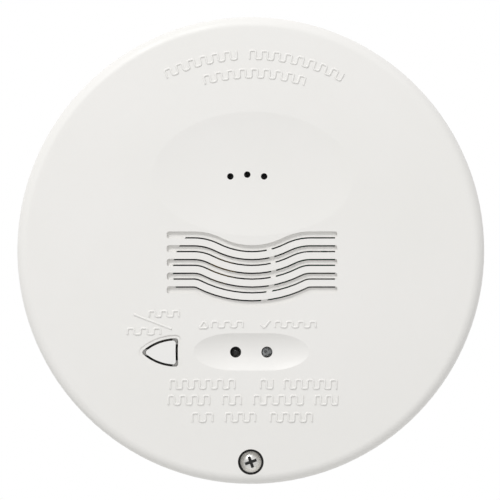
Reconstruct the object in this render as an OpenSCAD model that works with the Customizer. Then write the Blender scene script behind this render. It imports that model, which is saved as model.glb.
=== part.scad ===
// Round wall-mounted carbon monoxide detector, in millimetres.
// The part hangs on a wall: +Z is up, the face looks towards -Y and the origin is the
// centre of the back face. Inside the modules everything is drawn lying on its back,
// with x to the right, y up the wall and z out of the wall, and stand_up() turns it.

/* [Cover shell] */
// Diameter of the cover at the wall
cover_d = 152.4; // [140:0.1:184]
// Depth from the wall to the middle of the face
cover_depth = 33; // [31:0.5:42]
// Thickness of the cover's walls
cover_wall = 2.2; // [1.8:0.1:2.8]
// Radius of the round between the face and the side
edge_round = 3.5; // [3:0.1:6]
// Fall of the face from its flat middle to its edge
face_crown = 1.2; // [0.8:0.1:2.4]
// Radius of the flat middle of the face
face_flat_r = 26; // [20:1:30]
// Draft of the side wall in degrees
side_draft = 1.5; // [0.5:0.1:3]
// Gap between the cover's edge and the wall
cover_lift = 0.4; // [0.3:0.1:1]

/* [Sensor dish] */
// Width of the shallow oval dish round the gas holes
gas_dish_w = 68.8; // [56:0.2:80]
// Height of that dish up the face
gas_dish_h = 42; // [36:0.5:50]
// Depth of that dish
gas_dish_depth = 1.1; // [0.6:0.1:1.3]
// Middle of the dish, sideways
gas_dish_x = 0.9; // [-2:0.1:2]
// Middle of the dish, up the face
gas_dish_y = 25.7; // [22:0.1:32]
// Diameter of each gas hole
gas_hole_d = 2.1; // [1.5:0.1:3]
// Distance between neighbouring gas holes
gas_hole_pitch = 5.45; // [4:0.05:6.5]
// Rise of the middle gas hole above the other two
gas_hole_bow = 0.6; // [0:0.1:1.5]

/* [Gas sensor] */
// Middle of the sensor, sideways
sensor_x = -1.15; // [-3:0.05:3]
// Middle of the sensor, up the face
sensor_y = 23.9; // [22:0.1:27]
// Diameter of the sensor's can
sensor_d = 19.4; // [16:0.1:21]
// Height of the sensor above the board
sensor_h = 15; // [12:0.5:16]

/* [Grille] */
// Number of wavy slots
slot_count = 5; // [3:1:5]
// Distance between neighbouring slots
slot_pitch = 4.43; // [3.8:0.01:4.6]
// Width of a slot
slot_w = 2.3; // [1.8:0.1:2.6]
// Half the length of a slot
slot_half = 27.5; // [24:0.1:30]
// Depth of a slot's floor below the face
slot_depth = 1.1; // [0.6:0.1:1.4]
// Middle of the grille, sideways
grille_x = 0.4; // [-2:0.1:2]
// Height of the top slot's straight ends
grille_top = 5; // [4:0.1:6]
// Drop of each slot from its ends to its middle
grille_drop = 4.45; // [3:0.05:6]
// Crest radius of the lowest slot
crest_r_min = 1.3; // [1.3:0.1:3]
// Crest radius and valley radius of a slot added together
wave_r_sum = 42; // [36:0.5:48]
// Width of the sound slits along the slots' edges
slit_w = 0.45; // [0.3:0.05:0.6]

/* [Sounder] */
// Middle of the horn, sideways
horn_x = -9.3; // [-12:0.1:-7]
// Middle of the horn, up the face
horn_y = -6.5; // [-8:0.1:-4]
// Outer diameter of the horn housing
horn_d = 30.4; // [26:0.2:31]
// Height of the horn above the board
horn_h = 15; // [12:0.5:16]
// Wall of the horn housing round the sounder disc
horn_wall = 2.6; // [2:0.1:3]

/* [Indicators] */
// Distance between the two lamps
lamp_pitch = 10.1; // [9:0.1:12]
// Height of the lamps on the face
lamp_y = -32.8; // [-34:0.1:-31]
// Diameter of each lamp hole
lamp_hole_d = 3.6; // [3.4:0.1:4.2]
// Diameter of each lamp
lamp_d = 3; // [2.8:0.1:3]
// Width of the dish round the lamps
lamp_dish_w = 38; // [34:0.5:42]
// Height of that dish up the face
lamp_dish_h = 12.2; // [10:0.1:13]
// Depth of that dish
lamp_dish_depth = 1.6; // [1:0.1:1.8]
// Length of the straight middle of that dish
lamp_dish_flat = 12; // [8:0.5:16]

/* [Test button] */
// Half the height of the button's opening
button_half_h = 4.6; // [4:0.1:5.2]
// Height of the button on the face
button_y = -32.9; // [-34:0.1:-31]
// Right edge of the button's opening
button_right = -23.3; // [-24:0.1:-22.6]
// Radius of its bowed upper and lower sides
button_side_r = 16; // [14:0.5:19]
// Gap round the button
button_gap = 0.75; // [0.4:0.05:0.9]
// Travel of the button
button_travel = 0.8; // [0.5:0.1:1]
// Diameter of the button's stem
stem_d = 4; // [3:0.1:4.6]

/* [Cover screw] */
// Distance of the screw from the cover's edge
screw_inset = 7.9; // [7.5:0.1:9]
// Diameter of the screw's thread
screw_d = 3.5; // [3:0.1:4]
// Diameter of the screw's head
screw_head_d = 6.86; // [6:0.02:7.2]
// Height of the screw's head
screw_head_h = 2.4; // [2:0.1:2.8]
// Length of the screw under its head
screw_length = 19.05; // [17:0.05:21]
// Diameter of the recess round the head
screw_recess_d = 8.3; // [7.8:0.1:8.8]
// Depth of the head's top below the face
screw_sink = 1; // [0.6:0.1:1.6]
// How far the screw backs out before its ring stops it
screw_backout = 6.35; // [6.2:0.05:7]
// Length of thread in the brass insert
screw_grip = 5.8; // [5:0.1:6]

/* [Cover hinge] */
// Distance of the hinge line from the cover's edge
hinge_inset = 6.7; // [6.4:0.1:7.4]
// Height of the hinge line above the wall
hinge_z = 4.2; // [4.2:0.1:5]
// Diameter of the hinge pins
hinge_pin_d = 3; // [2.6:0.1:3.2]
// How far the cover swings open, in degrees
open_angle = 30; // [20:1:30]

/* [Base plate] */
// Thickness of the base plate
base_floor = 2; // [1.6:0.1:2.1]
// Height of the rim
rim_h = 8; // [6:0.5:9]
// Thickness of the rim
rim_wall = 1.6; // [1.4:0.1:2]
// Distance between the middles of the mounting slots
mount_spacing = 86; // [84:0.5:88]
// Length of a mounting slot
mount_slot_l = 10; // [8:0.5:11]
// Width of a mounting slot
mount_slot_w = 4.4; // [4:0.1:5]
// Width of the opening for the wires
wire_open_w = 28; // [22:0.5:28]
// Height of the opening for the wires
wire_open_h = 20; // [16:0.5:20]

/* [Circuit board] */
// Thickness of the board
board_t = 1.6; // [1.2:0.1:2]
// Height of the board's back above the wall
board_z = 9; // [8:0.1:9.5]
// Number of wire terminals
terminal_count = 6; // [4:1:6]
// Distance between neighbouring terminals
terminal_pitch = 4.4; // [4:0.1:4.4]

/* [Hidden] */
$fn = 72;

// Fits and small clearances
overcut = 1;
running_gap = 0.08;
easy_gap = 0.15;
overlap = 0.1;
body_gap = 0.3;
glue_gap = 0.02;
shank_gap = 0.2;
round_fine = 720;
edge_steps = 12;
crown_steps = 10;
crest_steps = 6;
tip_steps = 3;
slot_tip_r = 0.7;

// The cover's outline: a face that falls gently from its flat middle, a round edge and a
// drafted side. The round edge touches both, so its centre comes from a quadratic.
cover_r = cover_d / 2;
crown_reach = cover_r - edge_round - face_flat_r;
crown_r = (pow(crown_reach, 2) + pow(face_crown, 2)) / (2 * face_crown);
crown_mid = cover_depth - crown_r;
draft_slope = tan(side_draft);
edge_line = cover_r - face_flat_r - edge_round / cos(side_draft) - crown_mid * draft_slope;
edge_mid_r = crown_r - edge_round;
edge_root = pow(edge_line * draft_slope, 2)
    - (1 + pow(draft_slope, 2)) * (pow(edge_line, 2) - pow(edge_mid_r, 2));
edge_rise = (edge_line * draft_slope + sqrt(edge_root)) / (1 + pow(draft_slope, 2));
edge_z = crown_mid + edge_rise;
edge_x = face_flat_r + edge_line - edge_rise * draft_slope;

// Height of the face at a distance from its middle
function face_z(r) = crown_mid + sqrt(pow(crown_r, 2) - pow(max(r - face_flat_r, 0), 2));

// The board, and what stands on it
board_top = board_z + board_t;
board_left = -46;
board_right = 46;
board_low = -38;
board_high = 36;
board_cut_x = 13;
board_cut_y = -7;
notch_r = 6.5;
board_screw_at = [[-42, 32], [42, 32], [-42, -34], [9.3, -21.5]];
board_screw_d = 2.9;
board_screw_head_d = 5.6;
board_screw_head_h = 1.8;
board_screw_l = 8;
standoff_r = 3.2;

// The horn
horn_r = horn_d / 2;
horn_top = board_top + horn_h;
horn_roof = 1.5;
horn_mouth_r = 4.5;
piezo_d = horn_d - 2 * horn_wall;
piezo_t = 0.4;
ceramic_t = 0.3;
ceramic_rim = 4.1;
piezo_ledge = 0.9;
contact_rim = 2;
piezo_z = board_top + 6.4;
collar_gap = 0.7;
collar_wall = 1.6;
collar_in = horn_r + collar_gap;
collar_out = collar_in + collar_wall;

// The grille's waves
bend = acos(1 - grille_drop / wave_r_sum);
wave_half = wave_r_sum * sin(bend);
slit_low = slot_w / 2 - slit_w;

// The gas sensor's stack
sensor_top = board_top + sensor_h;
sensor_foot = 1.4;
cap_h = 3;
cap_wall = 1;
inlet_r = 4;
filter_t = 1;
seat_pad_r = 11;
seat_pad_t = 0.4;
screen_t = 0.6;
screen_r = 9.5;
seat_z = cover_depth - gas_dish_depth - cover_wall - seat_pad_t;
screen_z = seat_z - screen_t;
gasket_out = 8;
gasket_in = 5;

// The lamps
lamp_x = 0.15;
lamp_r = lamp_d / 2;
lamp_face_z = face_z(abs(lamp_y)) - lamp_dish_depth;
lamp_sink = 0.9;
funnel_rise = 0.7;
lamp_tip = lamp_face_z - lamp_sink;
lamp_body_h = 5.4;
lamp_foot_h = 1;
lamp_foot_r = lamp_r + 0.4;
lamp_foot_z = lamp_tip - lamp_body_h;
lead_r = 0.25;
lead_half = 1.27;
spacer_in = lead_half + lead_r + 0.1;
spacer_out = spacer_in + 0.8;

// The test button
button_reach = sqrt(pow(button_side_r, 2) - pow(button_side_r - button_half_h, 2));
button_peak = button_right - 0.9;
button_mid = button_right - 4.9;
corner_r = 0.9;
surround_w = 1.1;
surround_depth = 0.3;
flange_grow = 0.9;
flange_t = 1.2;
ear_w = 2;
ear_root = 2.4;
flange_top = face_z(norm([button_mid - 7, button_y])) - cover_wall - easy_gap;
flange_z = flange_top - flange_t;
button_face_z = face_z(norm([button_mid, button_y])) - 0.1;
stem_r = stem_d / 2;
bracket_t = 1.4;
bracket_z = flange_z - 7.7;
bracket_half_w = 3.6;
bracket_reach = 8.2;
guide_h = 1.6;
guide_r = 4.2;
post_r = 2.6;
bracket_screw_r = 1.1;
bracket_screw_head_r = 2.2;
bracket_screw_head_h = 1.3;
bracket_screw_l = 6;
spring_wire_r = 0.3;
spring_mid_r = stem_r + 0.75;
spring_turns = 5;

// The tact switch below the button
switch_w = 6;
switch_h = 3.5;
switch_plate_t = 0.3;
plunger_r = 1.7;
plunger_up = 2.2;
plunger_down = 1.1;
plunger_top = board_top + switch_h + switch_plate_t + plunger_up;

// The cover screw and what holds it
screw_y = -(cover_r - screw_inset);
screw_r = screw_d / 2;
screw_face_z = face_z(abs(screw_y));
seat_screw_z = screw_face_z - screw_sink - screw_head_h;
screw_floor_t = 2.4;
boss_bottom = seat_screw_z - screw_floor_t;
boss_wall = 1.8;
screw_tip = seat_screw_z - screw_length;
ring_t = 1.2;
ring_r = 3.2;
ring_top = boss_bottom - screw_backout - easy_gap;
insert_top = screw_tip + screw_grip;
insert_r = 2.8;
insert_l = 6.6;
base_boss_r = 4.4;

// The hinge
hinge_y = cover_r - hinge_inset;
pin_r = hinge_pin_d / 2;
bar_half = 8.5;
bar_r = pin_r + 0.35;
lug_gap = 0.4;
lug_t = 3;
lug_r = 3;
pin_end = bar_half + lug_gap + lug_t + 0.3;

// The base plate
base_gap = 0.8;
base_r = cover_r - cover_wall / cos(side_draft) - base_gap;
base_chord_y = hinge_y - body_gap;
swing_in = (hinge_z - cover_lift) * sin(open_angle) - base_gap + body_gap;
swing_y = hinge_y - swing_in / (1 - cos(open_angle));
wire_open_x = 30;
wire_open_y = -26;
wire_lip_t = 1.4;
wire_lip_h = 3;

// The terminal block
terminal_x = 28;
terminal_y = -1.6;
terminal_d = 10;
terminal_h = 10;
terminal_end = 1.2;
cage_w = 3;
cage_d = 4.4;
cage_h = 5.2;
cage_fit = 0.1;
cage_y = terminal_y + 0.6;
cage_z = board_top + 1.2;
cage_top = cage_z + cage_h;
terminal_w = terminal_count * terminal_pitch + 2 * terminal_end;
terminal_screw_r = 1.45;

// Turns what is drawn lying on its back up against the wall.
module stand_up() {
    rotate([90, 0, 0]) children();
}

module at(x, y, z = 0) {
    translate([x, y, z]) children();
}

module ring(r_out, r_in, h) {
    difference() {
        cylinder(r = r_out, h = h);
        translate([0, 0, -overcut]) cylinder(r = r_in, h = h + 2 * overcut);
    }
}

// A box centred on x and y that stands on z = 0.
module block(w, d, h) {
    translate([-w / 2, -d / 2, 0]) cube([w, d, h]);
}

// A flat slot or bar with round ends, along y.
module stadium(length, width) {
    half = (length - width) / 2;
    translate([-width / 2, -half]) square([width, 2 * half]);
    translate([0, half]) circle(d = width);
    translate([0, -half]) circle(d = width);
}

// Points along an arc round mid, from angle a0 to angle a1.
function arc_points(mid, r, a0, a1, steps) =
    [for (i = [0 : steps]) mid + r * [cos(a0 + (a1 - a0) * i / steps), sin(a0 + (a1 - a0) * i / steps)]];

// Half the cover's section, with its surface moved inwards by inset.
module dome_half(inset, low) {
    edge_top = atan2(edge_rise, edge_x - face_flat_r);
    polygon(concat(
        [[0, low], [cover_r - inset / cos(side_draft) - low * draft_slope, low]],
        arc_points([edge_x, edge_z], edge_round - inset, side_draft, edge_top, edge_steps),
        arc_points([face_flat_r, crown_mid], crown_r - inset,
            edge_top + (90 - edge_top) / crown_steps, 90, crown_steps - 1),
        [[0, cover_depth - inset]]
    ));
}

module dome(inset, low) {
    rotate_extrude($fn = round_fine) dome_half(inset, low);
}

// The barrel that cuts an oval dish. Its belly is w long and h wide where it meets the
// face at height top; flat is the straight stretch in its middle, grow makes it fatter.
module dish_barrel(w, h, depth, flat, top, grow = 0) {
    belly = (pow(h / 2, 2) + pow(depth, 2)) / (2 * depth);
    lift = belly - depth;
    end = w / 2 - flat / 2;
    end_r = (pow(end, 2) + pow(depth, 2)) / (2 * depth);
    swing = 2 * asin((h / 2 + grow + 1) / (belly + grow));
    translate([0, 0, top + lift]) rotate([0, 90, 0]) rotate([0, 0, -swing / 2])
        rotate_extrude(angle = swing, $fn = round_fine) intersection() {
            translate([lift - 1, -w]) square([depth + grow + 2, 2 * w]);
            union() {
                for (side = flat > 0 ? [-1, 1] : [1])
                    translate([belly - end_r, side * flat / 2])
                        circle(r = end_r + grow, $fn = round_fine);
                if (flat > 0) translate([lift - 1, -flat / 2]) square([depth + grow + 1, flat]);
            }
        }
}

module gas_dish(grow = 0) {
    at(gas_dish_x, gas_dish_y)
        dish_barrel(gas_dish_w, gas_dish_h, gas_dish_depth, 0, face_z(gas_dish_y), grow);
}

module lamp_dish(grow = 0) {
    at(lamp_x, lamp_y)
        dish_barrel(lamp_dish_w, lamp_dish_h, lamp_dish_depth, lamp_dish_flat, face_z(lamp_y), grow);
}

function after_first(list) = [for (i = [1 : len(list) - 1]) list[i]];
function backwards(list) = [for (i = [len(list) - 1 : -1 : 0]) list[i]];

// One long edge of wave k, d above its middle line, from left to right: a straight end, a
// crest, the valley, a crest and a straight end. Its end corners are rounded by tip.
function wave_edge(k, d, end, tip) =
    let (
        end_y = grille_top - k * slot_pitch,
        crest_r = crest_r_min + (slot_count - 1 - k) * slot_pitch,
        valley_r = wave_r_sum - crest_r,
        valley_mid = [0, end_y - grille_drop + valley_r],
        out = d > 0 ? 90 : -90,
        tip_y = end_y + d - (d > 0 ? tip : -tip)
    )
    concat(
        tip > 0 ? arc_points([tip - end, tip_y], tip, 180, 180 - out, tip_steps) : [[-end, end_y + d]],
        arc_points([-wave_half, end_y - crest_r], crest_r + d, 90, 90 - bend, crest_steps),
        after_first(arc_points(valley_mid, valley_r - d, 270 - bend, 270 + bend, 2 * crest_steps)),
        after_first(arc_points([wave_half, end_y - crest_r], crest_r + d, 90 + bend, 90, crest_steps)),
        tip > 0 ? arc_points([end - tip, tip_y], tip, out, 0, tip_steps) : [[end, end_y + d]]
    );

// A wavy band along slot k, from low to high above the slot's middle line.
module wave_band(k, low, high, end, tip = 0) {
    polygon(concat(wave_edge(k, high, end, tip), backwards(wave_edge(k, low, end, tip))));
}

// The slots, with slightly rounded ends.
module slots_flat() {
    for (k = [0 : slot_count - 1]) wave_band(k, -slot_w / 2, slot_w / 2, slot_half, slot_tip_r);
}

// The sound slits: along each slot's inner edges, inside the horn's collar and to its right.
module slits_flat() {
    slit_end = slot_half - slot_tip_r;
    for (k = [0 : slot_count - 1], up = [-1, 1])
        if (up > 0 ? k > 0 : k < slot_count - 1) intersection() {
            wave_band(k, up > 0 ? slit_low : -slot_w / 2, up > 0 ? slot_w / 2 : -slit_low, slit_end);
            union() {
                translate([horn_x - grille_x, horn_y]) circle(r = collar_in);
                difference() {
                    translate([0, -slot_half]) square([slot_half, 2 * slot_half]);
                    translate([horn_x - grille_x, horn_y]) circle(r = collar_out);
                }
            }
        }
}

// The button's outline, grown or shrunk all round: a shield that points left.
module shield(grow) {
    hollow_r = 60;
    hollow = 0.25;
    offset(r = corner_r + max(grow, 0), $fn = 48)
        offset(delta = min(grow, 0) - corner_r)
        difference() {
            intersection() {
                translate([button_peak, button_y + button_half_h - button_side_r])
                    circle(r = button_side_r, $fn = 240);
                translate([button_peak, button_y - button_half_h + button_side_r])
                    circle(r = button_side_r, $fn = 240);
                translate([button_peak - button_reach, button_y - button_side_r])
                    square([button_reach + 0.9, 2 * button_side_r]);
            }
            translate([button_right + hollow_r - hollow, button_y]) circle(r = hollow_r, $fn = 720);
        }
}

// What the wall would cut from the cover when it hangs fully open.
module open_wall_cut() {
    span = 2 * cover_d;
    translate([0, hinge_y, hinge_z]) rotate([open_angle, 0, 0])
        translate([-span / 2, -span, -hinge_z - span]) cube([span, 2 * span, span + body_gap]);
}

// The part of the hinge that belongs to the cover: a bar with two pins and a web.
module cover_hinge() {
    web_inset = 0.1;
    translate([-pin_end, hinge_y, hinge_z]) rotate([0, 90, 0]) cylinder(d = hinge_pin_d, h = 2 * pin_end);
    translate([-bar_half, hinge_y, hinge_z]) rotate([0, 90, 0]) cylinder(r = bar_r, h = 2 * bar_half);
    translate([-bar_half, hinge_y, hinge_z - pin_r + web_inset])
        cube([2 * bar_half, hinge_inset - cover_wall / 2, hinge_pin_d - 2 * web_inset]);
}

module front_cover() {
    color("#ebe9e5") stand_up() difference() {
        union() {
            difference() {
                dome(0, cover_lift);
                dome(cover_wall, cover_lift - overcut);
            }
            intersection() {
                dome(cover_wall / 2, cover_lift);
                union() {
                    gas_dish(cover_wall);
                    lamp_dish(cover_wall);
                    at(sensor_x, sensor_y, seat_z) cylinder(r = seat_pad_r, h = seat_pad_t + cover_wall);
                    at(horn_x, horn_y, horn_top + body_gap)
                        ring(collar_out, collar_in, cover_depth - horn_top - body_gap - cover_wall / 2);
                    at(0, screw_y, boss_bottom)
                        cylinder(r = screw_recess_d / 2 + boss_wall, h = cover_depth);
                    for (up = [-1, 1])
                        at(button_mid, button_y + up * bracket_reach, bracket_z + bracket_t)
                            cylinder(r = post_r, h = cover_depth - bracket_z - cover_wall);
                }
            }
            cover_hinge();
        }
        gas_dish();
        lamp_dish();
        at(grille_x, 0, cover_depth - slot_depth) linear_extrude(cover_depth) slots_flat();
        at(grille_x, 0, cover_depth - 2 * cover_wall) linear_extrude(cover_depth) slits_flat();
        for (k = [-1, 0, 1])
            at(sensor_x + k * gas_hole_pitch, sensor_y + (k == 0 ? gas_hole_bow : 0), seat_z - overcut)
                cylinder(d = gas_hole_d, h = cover_depth);
        for (side = [-1, 1]) at(lamp_x + side * lamp_pitch / 2, lamp_y, lamp_face_z - 2 * cover_wall) {
            cylinder(d = lamp_hole_d, h = cover_depth);
            cylinder(r1 = lamp_hole_d / 2 + cover_wall, r2 = lamp_hole_d / 2 - overlap,
                h = cover_wall + funnel_rise);
        }
        at(0, 0, flange_z) linear_extrude(cover_depth) shield(0);
        at(0, 0, face_z(norm([button_mid, button_y])) - surround_depth)
            linear_extrude(cover_depth) shield(surround_w);
        at(0, screw_y, seat_screw_z) cylinder(d = screw_recess_d, h = cover_depth);
        at(0, screw_y, boss_bottom - overcut) cylinder(r = screw_r + shank_gap, h = cover_depth);
        for (up = [-1, 1])
            at(button_mid, button_y + up * bracket_reach, bracket_z - overcut)
                cylinder(r = bracket_screw_r + glue_gap, h = bracket_screw_l + 2 * overcut);
        open_wall_cut();
    }
}

// The three ears that keep the button in the cover: at its tip and its two right corners.
module button_ears() {
    intersection() {
        shield(flange_grow);
        union() {
            translate([button_peak - button_reach, button_y])
                square([2 * ear_root, ear_w], center = true);
            for (up = [-1, 1])
                translate([button_right, button_y + up * button_half_h])
                    square(2 * ear_w, center = true);
        }
    }
}

module test_button() {
    color("#eceae6") stand_up() {
        at(0, 0, flange_z) linear_extrude(button_face_z - flange_z) shield(-button_gap);
        at(0, 0, flange_z) linear_extrude(flange_t) button_ears();
        at(button_mid, button_y, plunger_top + easy_gap)
            cylinder(d = stem_d, h = flange_z - plunger_top - easy_gap + flange_t / 2);
    }
}

// A coil of round wire, swept along its helix as one closed surface.
module coil(mid_r, wire_r, z0, z1, turns) {
    per_turn = 18;
    sides = 8;
    count = per_turn * turns;
    pitch = (z1 - z0 - 2 * wire_r) / turns;
    points = [
        for (i = [0 : count], s = [0 : sides - 1])
        let (turn = 360 * i / per_turn, roll = 360 * s / sides, r = mid_r + wire_r * cos(roll))
        [r * cos(turn), r * sin(turn), z0 + wire_r + pitch * i / per_turn + wire_r * sin(roll)]
    ];
    walls = [
        for (i = [0 : count - 1], s = [0 : sides - 1])
        let (a = i * sides + s, b = i * sides + (s + 1) % sides)
        [a, b, b + sides, a + sides]
    ];
    first = [for (s = [0 : sides - 1]) sides - 1 - s];
    last = [for (s = [0 : sides - 1]) count * sides + s];
    polyhedron(points, concat(walls, [first, last]));
}

module button_spring() {
    color("silver") stand_up() at(button_mid, button_y)
        coil(spring_mid_r, spring_wire_r, bracket_z + bracket_t, flange_z, spring_turns);
}

module button_bracket() {
    color("#e4e2dc") stand_up() at(button_mid, button_y) difference() {
        union() {
            at(0, 0, bracket_z) linear_extrude(bracket_t)
                stadium(2 * (bracket_reach + bracket_half_w), 2 * bracket_half_w);
            at(0, 0, bracket_z - guide_h) cylinder(r = guide_r, h = guide_h + bracket_t);
        }
        at(0, 0, bracket_z - guide_h - overcut)
            cylinder(r = stem_r + running_gap, h = guide_h + bracket_t + 2 * overcut);
        for (up = [-1, 1]) at(0, up * bracket_reach, bracket_z - overcut)
            cylinder(r = bracket_screw_r + glue_gap, h = bracket_t + 2 * overcut);
    }
}

// A small pan head screw that points up along z from its head's seat.
module small_screw(head_r, head_h, shank_r, shank_l) {
    difference() {
        union() {
            at(0, 0, -head_h) cylinder(r = head_r, h = head_h);
            cylinder(r = shank_r, h = shank_l);
        }
        for (turn = [0, 90]) rotate([0, 0, turn]) at(0, 0, -head_h - overcut)
            block(head_r * 1.3, head_r * 0.28, head_h * 0.6 + overcut);
    }
}

module bracket_screws() {
    color("silver") stand_up() for (up = [-1, 1])
        at(button_mid, button_y + up * bracket_reach, bracket_z)
            small_screw(bracket_screw_head_r, bracket_screw_head_h, bracket_screw_r, bracket_screw_l);
}

module cover_screw() {
    dome_r = 5.2;
    neck = 0.5;
    slot_long = 3.9;
    slot_wide = 0.95;
    slot_deep = 1.7;
    slot_turn = 20;
    color("#c9cac8") stand_up() at(0, screw_y, seat_screw_z) difference() {
        union() {
            intersection() {
                cylinder(d = screw_head_d, h = screw_head_h);
                at(0, 0, screw_head_h - dome_r) sphere(r = dome_r, $fn = 144);
            }
            at(0, 0, -screw_length) cylinder(r = screw_r, h = screw_length + neck);
        }
        rotate([0, 0, slot_turn]) at(0, 0, screw_head_h - slot_deep) {
            block(slot_long, slot_wide, screw_head_h);
            block(slot_wide, slot_long, screw_head_h);
            cylinder(r1 = slot_wide / 2, r2 = slot_wide, h = slot_deep + overcut);
        }
    }
}

module screw_retainer() {
    color("#3b3d40") stand_up() at(0, screw_y, ring_top - ring_t)
        ring(ring_r, screw_r + running_gap, ring_t);
}

module screw_insert() {
    groove = 0.3;
    groove_w = 1.2;
    color("#c2a154") stand_up() at(0, screw_y, insert_top - insert_l) difference() {
        ring(insert_r, screw_r + shank_gap, insert_l);
        at(0, 0, (insert_l - groove_w) / 2) ring(insert_r + overcut, insert_r - groove, groove_w);
    }
}

// The base's hinge lugs: open snap-in bearings on webs.
module base_lugs() {
    web = 3.6;
    heel = 1.3;
    snap_w = hinge_pin_d * 0.8;
    for (side = [-1, 1])
        translate([side > 0 ? bar_half + lug_gap : -bar_half - lug_gap - lug_t, hinge_y, hinge_z])
            difference() {
                union() {
                    rotate([0, 90, 0]) cylinder(r = lug_r, h = lug_t);
                    translate([0, -web, -hinge_z]) cube([lug_t, web + heel, hinge_z]);
                }
                translate([-overcut, 0, 0]) rotate([0, 90, 0])
                    cylinder(r = pin_r + running_gap, h = lug_t + 2 * overcut);
                translate([-overcut, -snap_w / 2, 0]) cube([lug_t + 2 * overcut, snap_w, lug_r + overcut]);
            }
}

// Where the cover's lower edge moves inwards near the hinge: no rim, and a narrower floor.
module swing_room() {
    translate([-cover_r, swing_y, base_floor]) cube([cover_d, cover_d, rim_h]);
    translate([0, 0, -overcut]) difference() {
        translate([-cover_r, swing_y, 0]) cube([cover_d, cover_d, rim_h]);
        translate([0, 0, -overcut])
            cylinder(r = base_r - swing_in, h = rim_h + 2 * overcut, $fn = round_fine);
    }
}

module base_plate() {
    pilot_r = board_screw_d / 2 + glue_gap;
    rib_l = 14;
    rib_t = 1.4;
    rib_drop = 2;
    screw_room = 2.5;
    color("#e2e0da") stand_up() difference() {
        union() {
            difference() {
                union() {
                    cylinder(r = base_r, h = base_floor, $fn = round_fine);
                    ring(base_r, base_r - rim_wall, rim_h, $fn = round_fine);
                }
                translate([-cover_r, base_chord_y, -overcut])
                    cube([cover_d, cover_d, rim_h + 2 * overcut]);
                swing_room();
            }
            base_lugs();
            for (p = board_screw_at) at(p[0], p[1]) cylinder(r = standoff_r, h = board_z);
            at(0, screw_y) cylinder(r = base_boss_r, h = insert_top);
            at(wire_open_x, wire_open_y)
                block(wire_open_w + 2 * wire_lip_t, wire_open_h + 2 * wire_lip_t, base_floor + wire_lip_h);
            for (turn = [40, 140, 220, 320])
                rotate([0, 0, turn]) at(base_r - rib_l / 2 - 1, 0) block(rib_l, rib_t, rim_h - rib_drop);
        }
        for (p = board_screw_at)
            at(p[0], p[1], base_floor / 2) cylinder(r = pilot_r, h = board_z);
        at(0, screw_y, insert_top - insert_l - screw_room)
            cylinder(r = screw_r + shank_gap, h = insert_top);
        at(0, screw_y, insert_top - insert_l) cylinder(r = insert_r + glue_gap, h = insert_top);
        at(wire_open_x, wire_open_y, -overcut) block(wire_open_w, wire_open_h, cover_depth);
        for (up = [-1, 1]) at(0, up * mount_spacing / 2, -overcut)
            linear_extrude(base_floor + 2 * overcut) stadium(mount_slot_l, mount_slot_w);
    }
}

module circuit_board() {
    color("#2f6b45") stand_up() at(0, 0, board_z) difference() {
        linear_extrude(board_t) difference() {
            translate([board_left, board_low])
                square([board_right - board_left, board_high - board_low]);
            translate([board_cut_x, board_low - overcut])
                square([board_right, board_cut_y - board_low + overcut]);
            translate([0, -mount_spacing / 2]) circle(r = notch_r);
        }
        for (p = board_screw_at)
            at(p[0], p[1], -overcut) cylinder(r = board_screw_d / 2 + easy_gap, h = board_t + 2 * overcut);
    }
}

module board_screws() {
    color("#b9babb") stand_up() for (p = board_screw_at)
        at(p[0], p[1], board_top) mirror([0, 0, 1])
            small_screw(board_screw_head_d / 2, board_screw_head_h, board_screw_d / 2, board_screw_l);
}

module horn_housing() {
    shelf_r = piezo_d / 2 - piezo_ledge;
    color("#1c1d1f") stand_up() at(horn_x, horn_y, board_top) difference() {
        union() {
            cylinder(r = horn_r, h = horn_h);
            for (turn = [30, 150, 270]) rotate([0, 0, turn]) at(horn_r - 0.8, 0) block(3.4, 4, 2.2);
        }
        at(0, 0, -overcut)
            cylinder(r = piezo_d / 2 + glue_gap, h = piezo_z - board_top + piezo_t + overcut);
        cylinder(r = shelf_r, h = horn_h - horn_roof);
        cylinder(r = horn_mouth_r, h = horn_h + overcut);
        at(0, 0, horn_h - 0.6) ring(horn_r - 1.6, horn_mouth_r + 2, 2);
    }
}

module piezo_plate() {
    color("#c9a545") stand_up() at(horn_x, horn_y, piezo_z) cylinder(d = piezo_d, h = piezo_t);
}

module piezo_ceramic() {
    color("#d9d9d2") stand_up() at(horn_x, horn_y, piezo_z - ceramic_t)
        cylinder(d = piezo_d - 2 * ceramic_rim, h = ceramic_t);
}

// Three spring contacts: one on the ceramic, two on the brass.
module horn_contacts() {
    reach = [0, piezo_d / 2 - contact_rim, piezo_d / 2 - contact_rim];
    turn = [0, 60, 240];
    color("silver") stand_up() for (i = [0 : 2])
        at(horn_x + reach[i] * cos(turn[i]), horn_y + reach[i] * sin(turn[i]), board_top) {
            top = piezo_z - board_top - (i == 0 ? ceramic_t : 0);
            cylinder(r = 1.2, h = 1);
            cylinder(r = 0.6, h = top - 0.6);
            at(0, 0, top - 1) cylinder(r = 0.9, h = 1);
        }
}

module sensor_can() {
    color("#b8babc") stand_up() at(sensor_x, sensor_y, board_top + sensor_foot) difference() {
        union() {
            cylinder(d = sensor_d, h = sensor_h - sensor_foot - cap_h);
            at(0, 0, 2) cylinder(d = sensor_d + 0.8, h = 1);
        }
        at(0, 0, sensor_h - sensor_foot - cap_h - 1) cylinder(r = inlet_r, h = 2);
    }
}

module sensor_cap() {
    color("#e8e6df") stand_up() at(sensor_x, sensor_y, sensor_top - cap_h) difference() {
        cylinder(d = sensor_d, h = cap_h);
        at(0, 0, -overcut) cylinder(r = inlet_r + cap_wall, h = filter_t + overcut);
        at(0, 0, -overcut) cylinder(r = inlet_r, h = cap_h + 2 * overcut);
        at(0, 0, cap_h - 0.5) ring(sensor_d / 2 + overcut, sensor_d / 2 - 0.8, 2);
    }
}

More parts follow.
